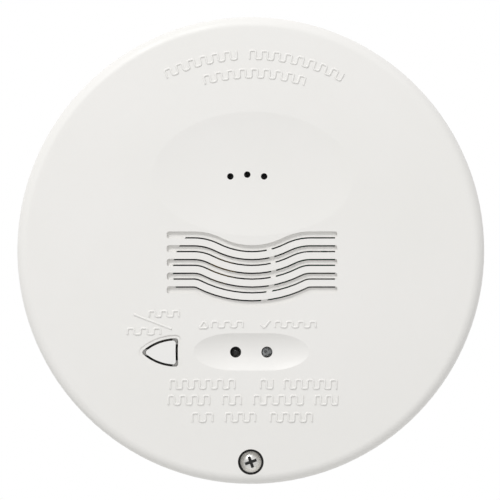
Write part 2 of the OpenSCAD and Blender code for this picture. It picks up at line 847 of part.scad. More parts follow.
module sensor_filter() {
    color("#2b2b2b") stand_up() at(sensor_x, sensor_y, sensor_top - cap_h)
        cylinder(r = inlet_r + cap_wall - glue_gap, h = filter_t);
}

module sensor_gasket() {
    color("#3a3a3c") stand_up() at(sensor_x, sensor_y, sensor_top)
        ring(gasket_out, gasket_in, screen_z - sensor_top - body_gap);
}

module sensor_pins() {
    color("#c8b060") stand_up() for (turn = [90, 210, 330])
        at(sensor_x + 6 * cos(turn), sensor_y + 6 * sin(turn), board_top) {
            cylinder(r = 0.5, h = sensor_foot);
            cylinder(r = 1, h = sensor_foot / 2);
        }
}

module dust_screen() {
    color("#45474a") stand_up() at(sensor_x, sensor_y, screen_z) cylinder(r = screen_r, h = screen_t);
}

module lamp(side) {
    at(lamp_x + side * lamp_pitch / 2, lamp_y, lamp_foot_z) {
        difference() {
            cylinder(r = lamp_foot_r, h = lamp_foot_h);
            at(lamp_foot_r - 0.25, -2, -overcut) cube([2, 4, lamp_foot_h + 2 * overcut]);
        }
        cylinder(r = lamp_r, h = lamp_body_h - lamp_r);
        at(0, 0, lamp_body_h - lamp_r) intersection() {
            sphere(r = lamp_r);
            block(2 * lamp_d, 2 * lamp_d, lamp_d);
        }
    }
}

module alarm_lamp() {
    color("#5b5f63") stand_up() lamp(-1);
}

module normal_lamp() {
    color("#cfd6d8") stand_up() lamp(1);
}

module lamp_spacers() {
    color("#f0efe9") stand_up() for (side = [-1, 1])
        at(lamp_x + side * lamp_pitch / 2, lamp_y, board_top)
            ring(spacer_out, spacer_in, lamp_foot_z - board_top);
}

module lamp_leads() {
    color("silver") stand_up() for (side = [-1, 1], leg = [-1, 1])
        at(lamp_x + side * lamp_pitch / 2 + leg * lead_half, lamp_y, board_top)
            cylinder(r = lead_r, h = lamp_foot_z - board_top);
}

module tact_switch() {
    color("#26272a") stand_up() at(button_mid, button_y, board_top) difference() {
        block(switch_w, switch_w, switch_h);
        at(0, 0, switch_h - plunger_down - button_travel - 0.1)
            cylinder(r = plunger_r + running_gap, h = switch_h);
    }
}

module tact_plate() {
    leg_t = 0.3;
    color("#c4c6c8") stand_up() at(button_mid, button_y, board_top) {
        at(0, 0, switch_h) difference() {
            block(switch_w, switch_w, switch_plate_t);
            at(0, 0, -overcut) cylinder(r = plunger_r + running_gap, h = 3);
        }
        for (side = [-1, 1], up = [-1, 1])
            at(side * (switch_w + leg_t) / 2, up * 2.2) block(leg_t, 0.8, switch_h + switch_plate_t);
    }
}

module tact_plunger() {
    color("#3a3b3e") stand_up() at(button_mid, button_y, board_top + switch_h - plunger_down)
        cylinder(r = plunger_r, h = plunger_down + switch_plate_t + plunger_up);
}

function terminal_at(i) = terminal_x + (i - (terminal_count - 1) / 2) * terminal_pitch;

module terminal_block() {
    color("#3f7f5c") stand_up() difference() {
        union() {
            at(terminal_x, terminal_y, board_top) block(terminal_w, terminal_d, terminal_h - 2.4);
            at(terminal_x, terminal_y + 1.4, board_top) block(terminal_w, terminal_d - 2.8, terminal_h);
        }
        for (i = [0 : terminal_count - 1]) {
            at(terminal_at(i) - cage_w / 2 - cage_fit, terminal_y - terminal_d, cage_z - cage_fit)
                cube([cage_w + 2 * cage_fit, terminal_d + cage_y - terminal_y + cage_d / 2 + cage_fit,
                    cage_h + 2 * cage_fit]);
            at(terminal_at(i), cage_y, cage_top) cylinder(r = terminal_screw_r + easy_gap, h = terminal_h);
        }
    }
}

// The brass cages that clamp the wires, each with a wire hole and a screw hole.
module terminal_cages() {
    color("#c7b37a") stand_up() for (i = [0 : terminal_count - 1]) at(terminal_at(i), cage_y, cage_z)
        difference() {
            block(cage_w, cage_d, cage_h);
            at(-0.95, -cage_d, 0.7) cube([1.9, 2 * cage_d, 2.6]);
            at(0, 0, 1) cylinder(r = 0.95, h = cage_h);
        }
}

module terminal_screws() {
    head_h = 1.4;
    color("#b4b6b8") stand_up() for (i = [0 : terminal_count - 1]) at(terminal_at(i), cage_y, cage_top)
        difference() {
            union() {
                at(0, 0, 0.3) cylinder(r = terminal_screw_r, h = head_h);
                at(0, 0, -1.6) cylinder(r = 0.9, h = 2.2);
            }
            at(0, 0, head_h - 0.3) block(4, 0.5, 2);
        }
}

module relay(x, y) {
    w = 10;
    d = 19;
    h = 10.5;
    at(x, y, board_top) {
        at(0, 0, 0.4) block(w, d, h - 0.4);
        for (sx = [-1, 1], sy = [-1, 1]) at(sx * 3.5, sy * 7.5) block(1, 0.5, 0.5);
    }
}

module alarm_relay() {
    color("#24262b") stand_up() relay(-38.5, 8);
}

module trouble_relay() {
    color("#2b4a73") stand_up() relay(-38.5, -14.5);
}

// A chip with legs along both long sides.
module small_chip(w, d, h, legs) {
    leg_pitch = 1.27;
    at(0, 0, 0.15) block(w, d, h);
    for (i = [0 : legs - 1], side = [-1, 1])
        at((i - (legs - 1) / 2) * leg_pitch, side * (d / 2 + 0.45)) {
            at(0, side * 0.35) block(0.45, 0.9, 0.2);
            at(0, -side * 0.2) block(0.45, 0.5, 0.9);
        }
}

module microcontroller() {
    color("#1f2023") stand_up() at(27, 25, board_top) small_chip(18, 7.5, 2.3, 14);
}

module amplifier_chip() {
    color("#222326") stand_up() at(-22, 27, board_top) small_chip(5, 3.9, 1.5, 4);
}

module regulator() {
    color("#2a2b2e") stand_up() at(40.5, 14.5, board_top) {
        at(0, 0, 0.3) block(6.6, 6.1, 2.2);
        at(0, 4.3) block(5.3, 3.2, 0.5);
        for (side = [-1, 1]) at(side * 2.3, -3.9) block(0.8, 2.4, 0.6);
    }
}

module electrolytics() {
    spots = [[12.5, 29, 8, 11], [30, 12, 8, 12], [14, 17, 6.3, 8], [-31, 27, 6.3, 8]];
    color("#30363f") stand_up() for (c = spots) at(c[0], c[1], board_top) {
        cylinder(d = c[2], h = 1.2);
        at(0, 0, 1.2) cylinder(d = c[2] - 0.5, h = 0.6);
        at(0, 0, 1.8) cylinder(d = c[2], h = c[3] - 1.8);
    }
}

module horn_coil() {
    color("#7a4a2a") stand_up() at(21, 10.5, board_top) {
        cylinder(r = 4.2, h = 1.2);
        cylinder(r = 3.5, h = 8.4);
        at(0, 0, 7.2) cylinder(r = 4.2, h = 1.2);
    }
}

module crystal() {
    color("#c7c9cb") stand_up() at(27, 32.4, board_top) linear_extrude(3.5)
        rotate([0, 0, 90]) stadium(10.4, 4.2);
}

module power_diodes() {
    color("#1b1b1d") stand_up() for (i = [0 : 2]) at(-20 + 4.6 * i, 14.5, board_top)
        block(2.4, 4.4, 2.1);
}

// Small surface-mount parts in three rows.
module chip_resistors() {
    rows = [[-30, 18, 5, 3.1], [-17, 20.5, 1, 3.1], [16, 34, 1, 3], [34, 32.8, 2, 3]];
    color("#26272a") stand_up() for (row = rows, i = [0 : row[2] - 1])
        at(row[0] + i * row[3], row[1], board_top) block(1.25, 2, 0.6);
}

// Domes of solder under the leads, on the back of the board.
module solder_joints() {
    joint_r = 1;
    sensor_spots = [for (t = [90, 210, 330]) [sensor_x + 6 * cos(t), sensor_y + 6 * sin(t)]];
    lamp_spots = [for (s = [-1, 1], l = [-1, 1]) [lamp_x + s * lamp_pitch / 2 + l * lead_half, lamp_y]];
    terminal_spots = [for (i = [0 : terminal_count - 1]) [terminal_at(i), cage_y]];
    relay_spots = [for (x = [-42, -35], y = [15.5, 0.5, -7, -22]) [x, y]];
    color("#cfd1d2") stand_up()
        for (p = concat(sensor_spots, lamp_spots, terminal_spots, relay_spots))
            at(p[0], p[1], board_z) intersection() {
                sphere(r = joint_r, $fn = 24);
                at(0, 0, -joint_r) block(3 * joint_r, 3 * joint_r, joint_r);
            }
}

base_plate();
front_cover();
test_button();
button_spring();
button_bracket();
bracket_screws();
cover_screw();
screw_retainer();
screw_insert();
circuit_board();
board_screws();
horn_housing();
piezo_plate();
piezo_ceramic();
horn_contacts();
sensor_can();
sensor_cap();
sensor_filter();
sensor_gasket();
sensor_pins();
dust_screen();
alarm_lamp();
normal_lamp();
lamp_spacers();
lamp_leads();
tact_switch();
tact_plate();
tact_plunger();
terminal_block();
terminal_cages();
terminal_screws();
alarm_relay();
trouble_relay();
microcontroller();
amplifier_chip();
regulator();
electrolytics();
horn_coil();
crystal();
power_diodes();
chip_resistors();
solder_joints();
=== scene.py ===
"""Looks of the round carbon monoxide detector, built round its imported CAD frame.

The row frame is in metres: +Z is up the wall, the face looks towards -Y and the origin is the
middle of the back face. Sizes given in millimetres carry the factor MM.
"""

import logging
import math
from dataclasses import dataclass, field
from enum import Enum
from typing import Any, Dict, List, Optional, Sequence, Tuple

import bmesh
import bpy
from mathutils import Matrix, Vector


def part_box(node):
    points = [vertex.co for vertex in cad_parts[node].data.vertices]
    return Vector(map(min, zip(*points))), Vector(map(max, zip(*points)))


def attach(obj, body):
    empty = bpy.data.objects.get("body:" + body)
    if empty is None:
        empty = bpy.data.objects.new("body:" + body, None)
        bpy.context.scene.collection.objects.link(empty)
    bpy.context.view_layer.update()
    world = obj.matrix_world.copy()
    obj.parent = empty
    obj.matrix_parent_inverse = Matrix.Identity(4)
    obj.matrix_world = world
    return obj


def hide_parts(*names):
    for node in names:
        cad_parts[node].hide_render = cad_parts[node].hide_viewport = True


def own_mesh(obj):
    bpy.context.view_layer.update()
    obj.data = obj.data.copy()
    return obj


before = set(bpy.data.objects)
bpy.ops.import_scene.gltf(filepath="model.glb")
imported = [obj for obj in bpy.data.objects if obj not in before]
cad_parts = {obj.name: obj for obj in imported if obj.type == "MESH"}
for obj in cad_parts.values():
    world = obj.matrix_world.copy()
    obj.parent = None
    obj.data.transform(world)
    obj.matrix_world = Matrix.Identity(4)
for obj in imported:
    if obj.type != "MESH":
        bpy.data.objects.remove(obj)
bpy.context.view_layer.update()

LOG = logging.getLogger("detector")
MM = 0.001
SMUDGES_PER_DRIFT = 3.7
COAT_ROUGHNESS = 0.12
SCRATCH_STRETCH = 14.0
SCRATCHES_PER_GRAIN = 0.4
TURNS_PER_GRAIN = 0.31
FACES_OUT = -0.9
Colour = Tuple[float, float, float]
Point2 = Tuple[float, float]
Point3 = Tuple[float, float, float]
Socket = bpy.types.NodeSocket


# ------------------------------------------------------------------ node trees


class Nodes:
    """A hand that adds, sets and joins the nodes of one tree."""

    def __init__(self, tree: bpy.types.NodeTree) -> None:
        """Takes hold of a tree.

        Args:
            tree: The shader or geometry tree to build in.
        """
        self.tree = tree

    def add(self, kind: str, settings: Optional[Dict[str, Any]] = None, **inputs: Any) -> bpy.types.Node:
        """Adds one node.

        Args:
            kind: The node's type name.
            settings: Properties set on the node itself.
            **inputs: Values or sockets by input name, with _ for a space, or by number as i0, i1.

        Returns:
            The new node.
        """
        node = self.tree.nodes.new(kind)
        for name, value in (settings or {}).items():
            setattr(node, name, value)
        for name, value in inputs.items():
            is_number = name[0] == "i" and name[1:].isdigit()
            socket = node.inputs[int(name[1:]) if is_number else name.replace("_", " ")]
            if isinstance(value, Socket):
                self.tree.links.new(value, socket)
            else:
                socket.default_value = value
        return node

    def math(self, operation: str, *values: Any) -> Socket:
        """Adds a math node and returns its result.

        Args:
            operation: The math node's operation.
            *values: Numbers or sockets, in order.

        Returns:
            The socket that carries the result.
        """
        node = self.add("ShaderNodeMath", {"operation": operation},
                        **{f"i{k}": value for k, value in enumerate(values)})
        return node.outputs[0]

    def spread(self, value: Socket, low: float, high: float,
               start: float = 0.3, end: float = 0.7) -> Socket:
        """Maps a texture's middle range to a chosen one.

        Args:
            value: The texture's socket.
            low: Result at start.
            high: Result at end.
            start: Lowest texture value that counts.
            end: Highest texture value that counts.

        Returns:
            The socket that carries the mapped value.
        """
        node = self.add("ShaderNodeMapRange", None, i0=value, i1=start, i2=end, i3=low, i4=high)
        return node.outputs[0]

    def noise(self, place: Socket, scale: float, detail: float, roughness: float = 0.5) -> Socket:
        """Adds a noise texture.

        Args:
            place: The coordinates that it follows.
            scale: Its scale, in lumps per metre.
            detail: How many finer layers it has.
            roughness: How strong the finer layers are.

        Returns:
            The socket that carries the noise.
        """
        return self.add("ShaderNodeTexNoise", None, Vector=place, Scale=scale, Detail=detail,
                        Roughness=roughness).outputs[0]

    def apart(self, vector: Socket) -> Tuple[Socket, Socket, Socket]:
        """Takes a vector apart.

        Args:
            vector: The socket that carries it.

        Returns:
            The sockets of its X, Y and Z.
        """
        split = self.add("ShaderNodeSeparateXYZ", None, Vector=vector).outputs
        return split[0], split[1], split[2]

    def mix(self, share: Any, first: Any, second: Any) -> Socket:
        """Mixes two colours.

        Args:
            share: How much of the second colour shows.
            first: The first colour, as a socket or three numbers.
            second: The second colour, as a socket or three numbers.

        Returns:
            The socket that carries the mixed colour.
        """
        node = self.add("ShaderNodeMix", {"data_type": "RGBA"})
        for place, value in ((0, share), (6, first), (7, second)):
            if isinstance(value, Socket):
                self.tree.links.new(value, node.inputs[place])
            else:
                node.inputs[place].default_value = value if place == 0 else (*value, 1.0)
        return node.outputs[2]


# -------------------------------------------------------------------- finishes


class Pattern(Enum):
    """What a finish shows besides its fine grain."""

    MOULDED = "spark-eroded mould texture"
    BRUSHED = "fine lines left by drawing or turning"
    WOUND = "turns of fine wire"
    CRUMBLED = "pressed granules"
    TRACKS = "copper tracks and vias under solder mask"
    SLEEVED = "sleeve with a bare metal top"
    CLEAR = "clear resin"


@dataclass(frozen=True)
class PaintedShadeRecess:
    """A narrow round recess along Y whose walls and floor get painted shade below a certain depth."""

    x: float
    z: float
    radius: float
    start: float
    fade: float
    painted_shade_colour: Colour

    def paint_shade(self, nodes: Nodes, place: Socket, colour: Socket) -> Socket:
        """Paints shade onto a finish deep inside the recess, where the real recess lies in shade.

        Args:
            nodes: The material's tree.
            place: Object coordinates.
            colour: The finish's own colour.

        Returns:
            The colour with painted shade in the recess.
        """
        x, y, z = nodes.apart(place)
        across = nodes.math("SUBTRACT", x, self.x)
        up = nodes.math("SUBTRACT", z, self.z)
        squared = nodes.math("ADD", nodes.math("MULTIPLY", across, across), nodes.math("MULTIPLY", up, up))
        inside = nodes.math("LESS_THAN", squared, self.radius ** 2)
        deep = nodes.spread(y, 0.0, 1.0, self.start, self.start + self.fade)
        # Painted shade: the colour turns dark inside the radius and below the start depth.
        return nodes.mix(nodes.math("MULTIPLY", inside, deep), colour, self.painted_shade_colour)


@dataclass(frozen=True)
class Tracks:
    """Copper tracks and vias under a board's solder mask."""

    width: float = 0.22 * MM
    length: float = 7.3 * MM
    spacing: float = 1.9 * MM
    via_spacing: float = 4.1 * MM
    via_edge: Point2 = (0.09, 0.12)
    tinned: Colour = (0.56, 0.56, 0.52)
    brighter: float = 2.1
    show: float = 0.75
    raise_by: float = 3.0

    def lay(self, nodes: Nodes, place: Socket, colour: Socket, mask: Colour,
            rough: Socket, fine: Socket) -> Tuple[Any, Any, Any]:
        """Lays the tracks under the mask.

        Args:
            nodes: The material's tree.
            place: Object coordinates.
            colour: The mask's colour, with its drift.
            mask: The mask's plain colour.
            rough: The mask's roughness.
            fine: The fine grain.

        Returns:
            The colour, the roughness and the height that drive the shader.
        """
        flat = nodes.add("ShaderNodeMapping", None, Vector=place, Rotation=(math.pi / 2, 0.0, 0.0))
        black, white = (0, 0, 0, 1), (1, 1, 1, 1)
        runs = nodes.add("ShaderNodeTexBrick", {"offset": 0.37, "squash": 1.9, "squash_frequency": 3},
                         Vector=flat.outputs[0], Scale=1.0, Color1=black, Color2=black, Mortar=white,
                         Mortar_Size=self.width, Mortar_Smooth=0.2, Brick_Width=self.length,
                         Row_Height=self.spacing).outputs[1]
        vias = nodes.add("ShaderNodeTexVoronoi", {"voronoi_dimensions": "2D"}, Vector=flat.outputs[0],
                         Scale=1 / self.via_spacing, Randomness=0.8).outputs[0]
        via = nodes.spread(vias, 1.0, 0.0, *self.via_edge)
        bright = tuple(min(1.0, self.brighter * c + 0.02) for c in mask)
        with_runs = nodes.mix(nodes.math("MULTIPLY", runs, self.show), colour, bright)
        height = nodes.math("ADD", nodes.math("MULTIPLY", runs, self.raise_by), fine)
        return nodes.mix(via, with_runs, self.tinned), rough, height


def middle_of(node: str) -> Point3:
    """Finds the middle of a CAD node's box.

    Args:
        node: The node's name.

    Returns:
        The point.
    """
    low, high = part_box(node)
    return (low[0] + high[0]) / 2, (low[1] + high[1]) / 2, (low[2] + high[2]) / 2


def screw_recess_shade(radius: float, depth: float, fade: float, painted_shade_colour: Colour) -> PaintedShadeRecess:
    """Places a recess with painted shade on the cover screw's axis.

    Args:
        radius: The recess's radius.
        depth: Where the painted shade starts, below the top of the screw's head.
        fade: Over what depth it grows.
        painted_shade_colour: The colour of the painted shade.

    Returns:
        The recess.
    """
    x, _, z = middle_of("cover_screw")
    return PaintedShadeRecess(x, z, radius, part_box("cover_screw")[0][1] + depth, fade, painted_shade_colour)


@dataclass(frozen=True)
class Finish:
    """One finish: its colours, how it takes the light and the sizes of its texture in metres."""

    name: str
    colour: Colour
    drift_colour: Colour
    roughness: float
    pattern: Pattern = Pattern.MOULDED
    metallic: float = 0.0
    roughness_swing: float = 0.06
    grain: float = 0.45 * MM
    grain_depth: float = 0.006 * MM
    drift: float = 18 * MM
    ior: float = 1.46
    coat: float = 0.0
    transmission: float = 0.0
    # Painted shade deep in a recess, if the finish has one.
    painted_shade: Optional[PaintedShadeRecess] = None

    def material(self) -> bpy.types.Material:
        """Builds the material.

        Returns:
            The material, with colour, roughness and bump from its own nodes.
        """
        made = bpy.data.materials.new(self.name)
        made.use_nodes = True
        made.node_tree.nodes.clear()
        nodes = Nodes(made.node_tree)
        place = nodes.add("ShaderNodeTexCoord").outputs["Object"]
        slow = nodes.noise(place, 1 / self.drift, 3.0)
        fine = nodes.noise(place, 1 / self.grain, 2.0)
        smudge = nodes.noise(place, SMUDGES_PER_DRIFT / self.drift, 5.0, 0.6)
        colour = nodes.mix(nodes.spread(slow, 0.0, 1.0), self.colour, self.drift_colour)
        rough = nodes.spread(smudge, self.roughness - self.roughness_swing,
                             self.roughness + self.roughness_swing)
        colour, rough, height = self.dress(nodes, place, colour, rough, fine)
        # Painted shade deep in a recess, where the real recess falls into shade.
        if self.painted_shade:
            colour = self.painted_shade.paint_shade(nodes, place, colour)
        bump = nodes.add("ShaderNodeBump", None, Strength=1.0, Distance=self.grain_depth, Height=height)
        shader = nodes.add("ShaderNodeBsdfPrincipled", None, Base_Color=colour, Roughness=rough,
                           Metallic=self.metallic, IOR=self.ior, Normal=bump.outputs[0])
        shader.inputs["Coat Weight"].default_value = self.coat
        shader.inputs["Coat Roughness"].default_value = COAT_ROUGHNESS
        shader.inputs["Transmission Weight"].default_value = self.transmission
        nodes.add("ShaderNodeOutputMaterial", None, Surface=shader.outputs[0])
        made.diffuse_color = (*self.colour, 1.0)
        return made

    def dress(self, nodes: Nodes, place: Socket, colour: Socket,
              rough: Socket, fine: Socket) -> Tuple[Any, Any, Any]:
        """Adds the finish's own pattern over its plain colour and grain.

        Args:
            nodes: The material's tree.
            place: Object coordinates.
            colour: The plain colour.
            rough: The plain roughness.
            fine: The fine grain.

        Returns:
            The colour, the roughness and the height that drive the shader.
        """
        if self.pattern is Pattern.BRUSHED:
            stretch = nodes.add("ShaderNodeMapping", None, Vector=place, Scale=(1.0, SCRATCH_STRETCH, 1.0))
            lines = nodes.noise(stretch.outputs[0], SCRATCHES_PER_GRAIN / self.grain, 4.0)
            rough = nodes.math("ADD", rough, nodes.spread(lines, -0.05, 0.07))
            return colour, rough, nodes.math("ADD", fine, lines)
        if self.pattern is Pattern.WOUND:
            turns = nodes.add("ShaderNodeTexWave", {"bands_direction": "Y"}, Vector=place,
                              Scale=TURNS_PER_GRAIN / self.grain, Distortion=0.3).outputs[1]
            # Painted shade: the grooves between the turns, where the bump is low, are drawn darker.
            painted_shade_colour = tuple(0.35 * c for c in self.colour)
            return nodes.mix(nodes.spread(turns, 0.8, 0.0, 0.0, 0.5), colour, painted_shade_colour), rough, turns
        if self.pattern is Pattern.CRUMBLED:
            crumbs = nodes.add("ShaderNodeTexVoronoi", None, Vector=place, Scale=1 / self.grain).outputs[0]
            between = nodes.spread(crumbs, 0.0, 0.6, 0.1, 0.7)
            return nodes.mix(between, colour, self.drift_colour), rough, crumbs
        if self.pattern is Pattern.TRACKS:
            return Tracks().lay(nodes, place, colour, self.colour, rough, fine)
        if self.pattern is Pattern.SLEEVED:
            facing = nodes.apart(nodes.add("ShaderNodeNewGeometry").outputs["Normal"])
            top = nodes.math("LESS_THAN", facing[1], FACES_OUT)
            bare: Colour = (0.62, 0.63, 0.64)
            rough = nodes.math("ADD", rough, nodes.math("MULTIPLY", top, 0.1))
            return nodes.mix(top, colour, bare), rough, fine
        return colour, rough, fine


# The cover wears painted shade on the deep walls of its screw recess: the dark ring round the screw.
COVER = Finish("cover_plastic", (0.80, 0.788, 0.768), (0.785, 0.775, 0.75), 0.46, drift=38 * MM,
               painted_shade=screw_recess_shade(4.3 * MM, 0.7 * MM, 1.2 * MM, (0.02, 0.02, 0.02)))
BUTTON = Finish("button_plastic", (0.80, 0.795, 0.78), (0.785, 0.775, 0.757), 0.42,
                grain=0.35 * MM, drift=9 * MM)
BASE = Finish("base_plastic", (0.74, 0.73, 0.70), (0.70, 0.69, 0.655), 0.56,
              grain=0.6 * MM, grain_depth=0.012 * MM)
INNER = Finish("inner_plastic", (0.74, 0.73, 0.69), (0.70, 0.69, 0.64), 0.5, drift=6 * MM)
SPRING = Finish("spring_wire", (0.60, 0.60, 0.61), (0.50, 0.50, 0.51), 0.28, Pattern.BRUSHED, 1.0,
                grain=0.2 * MM, drift=3 * MM)
ZINC = Finish("zinc_screw", (0.60, 0.61, 0.63), (0.52, 0.53, 0.50), 0.34, Pattern.BRUSHED, 1.0,
              grain=0.3 * MM, drift=3 * MM)
# The screw's head wears painted shade deep in its cross recess, so the cross shows dark.
NICKEL = Finish("cover_screw_steel", (0.88, 0.87, 0.85), (0.78, 0.77, 0.745), 0.3, Pattern.BRUSHED, 1.0,
                grain=0.5 * MM, grain_depth=0.003 * MM, drift=2.5 * MM,
                painted_shade=screw_recess_shade(2.05 * MM, 0.46 * MM, 0.3 * MM, (0.05, 0.05, 0.05)))
NYLON_RING = Finish("retainer_ring", (0.03, 0.03, 0.034), (0.045, 0.045, 0.048), 0.5, drift=3 * MM)
BRASS = Finish("brass", (0.68, 0.50, 0.22), (0.55, 0.38, 0.16), 0.3, Pattern.BRUSHED, 1.0,
               grain=0.3 * MM, drift=4 * MM)
BOARD = Finish("board_green", (0.018, 0.105, 0.045), (0.014, 0.085, 0.036), 0.3, Pattern.TRACKS,
               grain=0.9 * MM, grain_depth=0.02 * MM, coat=0.4)
HORN = Finish("horn_plastic", (0.016, 0.016, 0.018), (0.024, 0.024, 0.026), 0.48, drift=8 * MM)
CERAMIC = Finish("ceramic", (0.64, 0.63, 0.58), (0.55, 0.53, 0.47), 0.38, drift=4 * MM)
TINNED = Finish("tinned_metal", (0.66, 0.67, 0.68), (0.56, 0.56, 0.56), 0.3, Pattern.BRUSHED, 1.0,
                grain=0.3 * MM, drift=3 * MM)
SENSOR_STEEL = Finish("sensor_steel", (0.58, 0.59, 0.60), (0.48, 0.49, 0.49), 0.32, Pattern.BRUSHED, 1.0,
                      grain=0.4 * MM, drift=7 * MM)
CHARCOAL = Finish("filter_charcoal", (0.02, 0.02, 0.02), (0.07, 0.07, 0.068), 0.85, Pattern.CRUMBLED,
                  grain=0.5 * MM, grain_depth=0.2 * MM, drift=2 * MM)
RUBBER = Finish("gasket_rubber", (0.035, 0.035, 0.038), (0.05, 0.05, 0.052), 0.7, drift=5 * MM)
SCREEN = Finish("screen_nylon", (0.022, 0.022, 0.024), (0.03, 0.03, 0.032), 0.55,
                grain=0.25 * MM, drift=3 * MM)
SMOKED = Finish("smoked_lens", (0.008, 0.008, 0.009), (0.012, 0.012, 0.013), 0.08, Pattern.CLEAR,
                roughness_swing=0.03, grain=0.5 * MM, grain_depth=0.002 * MM, drift=2 * MM, ior=1.5)
CLEAR = Finish("clear_lens", (0.66, 0.67, 0.67), (0.40, 0.41, 0.41), 0.07, Pattern.CLEAR,
               roughness_swing=0.03, grain=0.42 * MM, grain_depth=0.02 * MM, drift=1.1 * MM, ior=1.52,
               transmission=0.85)
EPOXY = Finish("component_black", (0.022, 0.022, 0.024), (0.034, 0.034, 0.035), 0.52,
               grain=0.25 * MM, drift=5 * MM)
TERMINAL = Finish("terminal_green", (0.035, 0.17, 0.085), (0.028, 0.14, 0.07), 0.42, drift=8 * MM)
RELAY_BLACK = Finish("relay_black", (0.02, 0.021, 0.024), (0.03, 0.031, 0.034), 0.4, drift=6 * MM)
RELAY_BLUE = Finish("relay_blue", (0.022, 0.065, 0.17), (0.018, 0.05, 0.135), 0.38, drift=6 * MM)
SLEEVE = Finish("capacitor_sleeve", (0.022, 0.03, 0.05), (0.03, 0.038, 0.058), 0.3, Pattern.SLEEVED,
                drift=5 * MM)
COPPER = Finish("copper_winding", (0.42, 0.14, 0.05), (0.34, 0.10, 0.04), 0.3, Pattern.WOUND, 0.6,
                grain=0.3 * MM, grain_depth=0.05 * MM, drift=3 * MM, coat=0.5)
SOLDER = Finish("solder", (0.64, 0.65, 0.66), (0.55, 0.56, 0.56), 0.26, Pattern.MOULDED, 1.0,
                grain=0.4 * MM, grain_depth=0.01 * MM, drift=1.5 * MM)
INK = Finish("board_ink", (0.72, 0.73, 0.70), (0.62, 0.63, 0.60), 0.6, grain=0.3 * MM, drift=4 * MM)


@dataclass
class Wardrobe:
    """Every finish, made once and shared by the pieces that wear it."""

    made: Dict[str, bpy.types.Material] = field(default_factory=dict)

    def get(self, finish: Finish) -> bpy.types.Material:
        """Finds a finish's material, and builds it the first time.

        Args:
            finish: The finish.

        Returns:
            Its material.
        """
        if finish.name not in self.made:
            self.made[finish.name] = finish.material()
        return self.made[finish.name]

    def put_on(self, piece: bpy.types.Object, finish: Finish) -> None:
        """Gives a piece one finish all over.

        Args:
            piece: The object to dress.
            finish: What it wears.
        """
        material = self.get(finish)
        if not piece.material_slots:
            piece.data.materials.append(material)
        for slot in piece.material_slots:
            slot.material = material


# ----------------------------------------------------------------- mesh making


def keep_mesh(made: bmesh.types.BMesh, name: str, smooth: bool = True) -> bpy.types.Object:
    """Turns worked geometry into an object at the origin.

    Args:
        made: The geometry, in the row frame.
        name: The piece's name.
        smooth: Whether its faces are shaded smooth.

    Returns:
        The new object.
    """
    bmesh.ops.recalc_face_normals(made, faces=made.faces)
    for face in made.faces:
        face.smooth = smooth
    mesh = bpy.data.meshes.new(name)
    made.to_mesh(mesh)
    made.free()
    piece = bpy.data.objects.new(name, mesh)
    bpy.context.scene.collection.objects.link(piece)
    return piece


def turned(made: bmesh.types.BMesh, profile: Sequence[Point2], at: Point3, sides: int = 48) -> None:
    """Adds a closed ring or disc turned about a line along Y.

    Args:
        made: Where the faces go.
        profile: Radius and Y points of the section, all in order round it.
        at: A point on the axis; the profile's Y is measured from it.
        sides: Number of steps round.
    """
    rings = [[made.verts.new((at[0] + r * math.cos(2 * math.pi * k / sides), at[1] + y,
                              at[2] + r * math.sin(2 * math.pi * k / sides)))
              for r, y in profile] for k in range(sides)]
    for k in range(sides):
        here, there = rings[k], rings[(k + 1) % sides]
        for j in range(len(profile)):
            nearby = (j + 1) % len(profile)
            made.faces.new((here[j], here[nearby], there[nearby], there[j]))


def grown(name: str, tree: bpy.types.GeometryNodeTree, values: Dict[str, Any],
          seed_mesh: Optional[bpy.types.Mesh] = None) -> bpy.types.Object:
    """Runs a geometry tree once and keeps the result as a plain mesh.

    Args:
        name: The new object's name.
        tree: The tree that makes the shape.
        values: The tree's inputs by name.
        seed_mesh: The mesh that the tree works on, if it needs one.

    Returns:
        An object at the origin that holds the made mesh and no modifier.
    """
    host = bpy.data.objects.new(name + "_host", seed_mesh or bpy.data.meshes.new(name + "_host"))
    bpy.context.scene.collection.objects.link(host)
    modifier = host.modifiers.new("grow", "NODES")
    modifier.node_group = tree
    for item in tree.interface.items_tree:
        if item.item_type == "SOCKET" and item.in_out == "INPUT" and item.name in values:
            modifier[item.identifier] = values[item.name]
    depsgraph = bpy.context.evaluated_depsgraph_get()
    depsgraph.update()
    mesh = bpy.data.meshes.new_from_object(host.evaluated_get(depsgraph))
    bpy.data.objects.remove(host)
    piece = bpy.data.objects.new(name, mesh)
    bpy.context.scene.collection.objects.link(piece)
    return piece


def merged(name: str, parts: Sequence[bpy.types.Object]) -> bpy.types.Object:
    """Joins several objects at the origin into one piece.

    Args:
        name: The piece's name.
        parts: The objects, which are used up.

    Returns:
        The one piece.
    """
    made = bmesh.new()
    for part in parts:
        made.from_mesh(part.data)
    for part in parts:
        bpy.data.objects.remove(part)
    return keep_mesh(made, name)


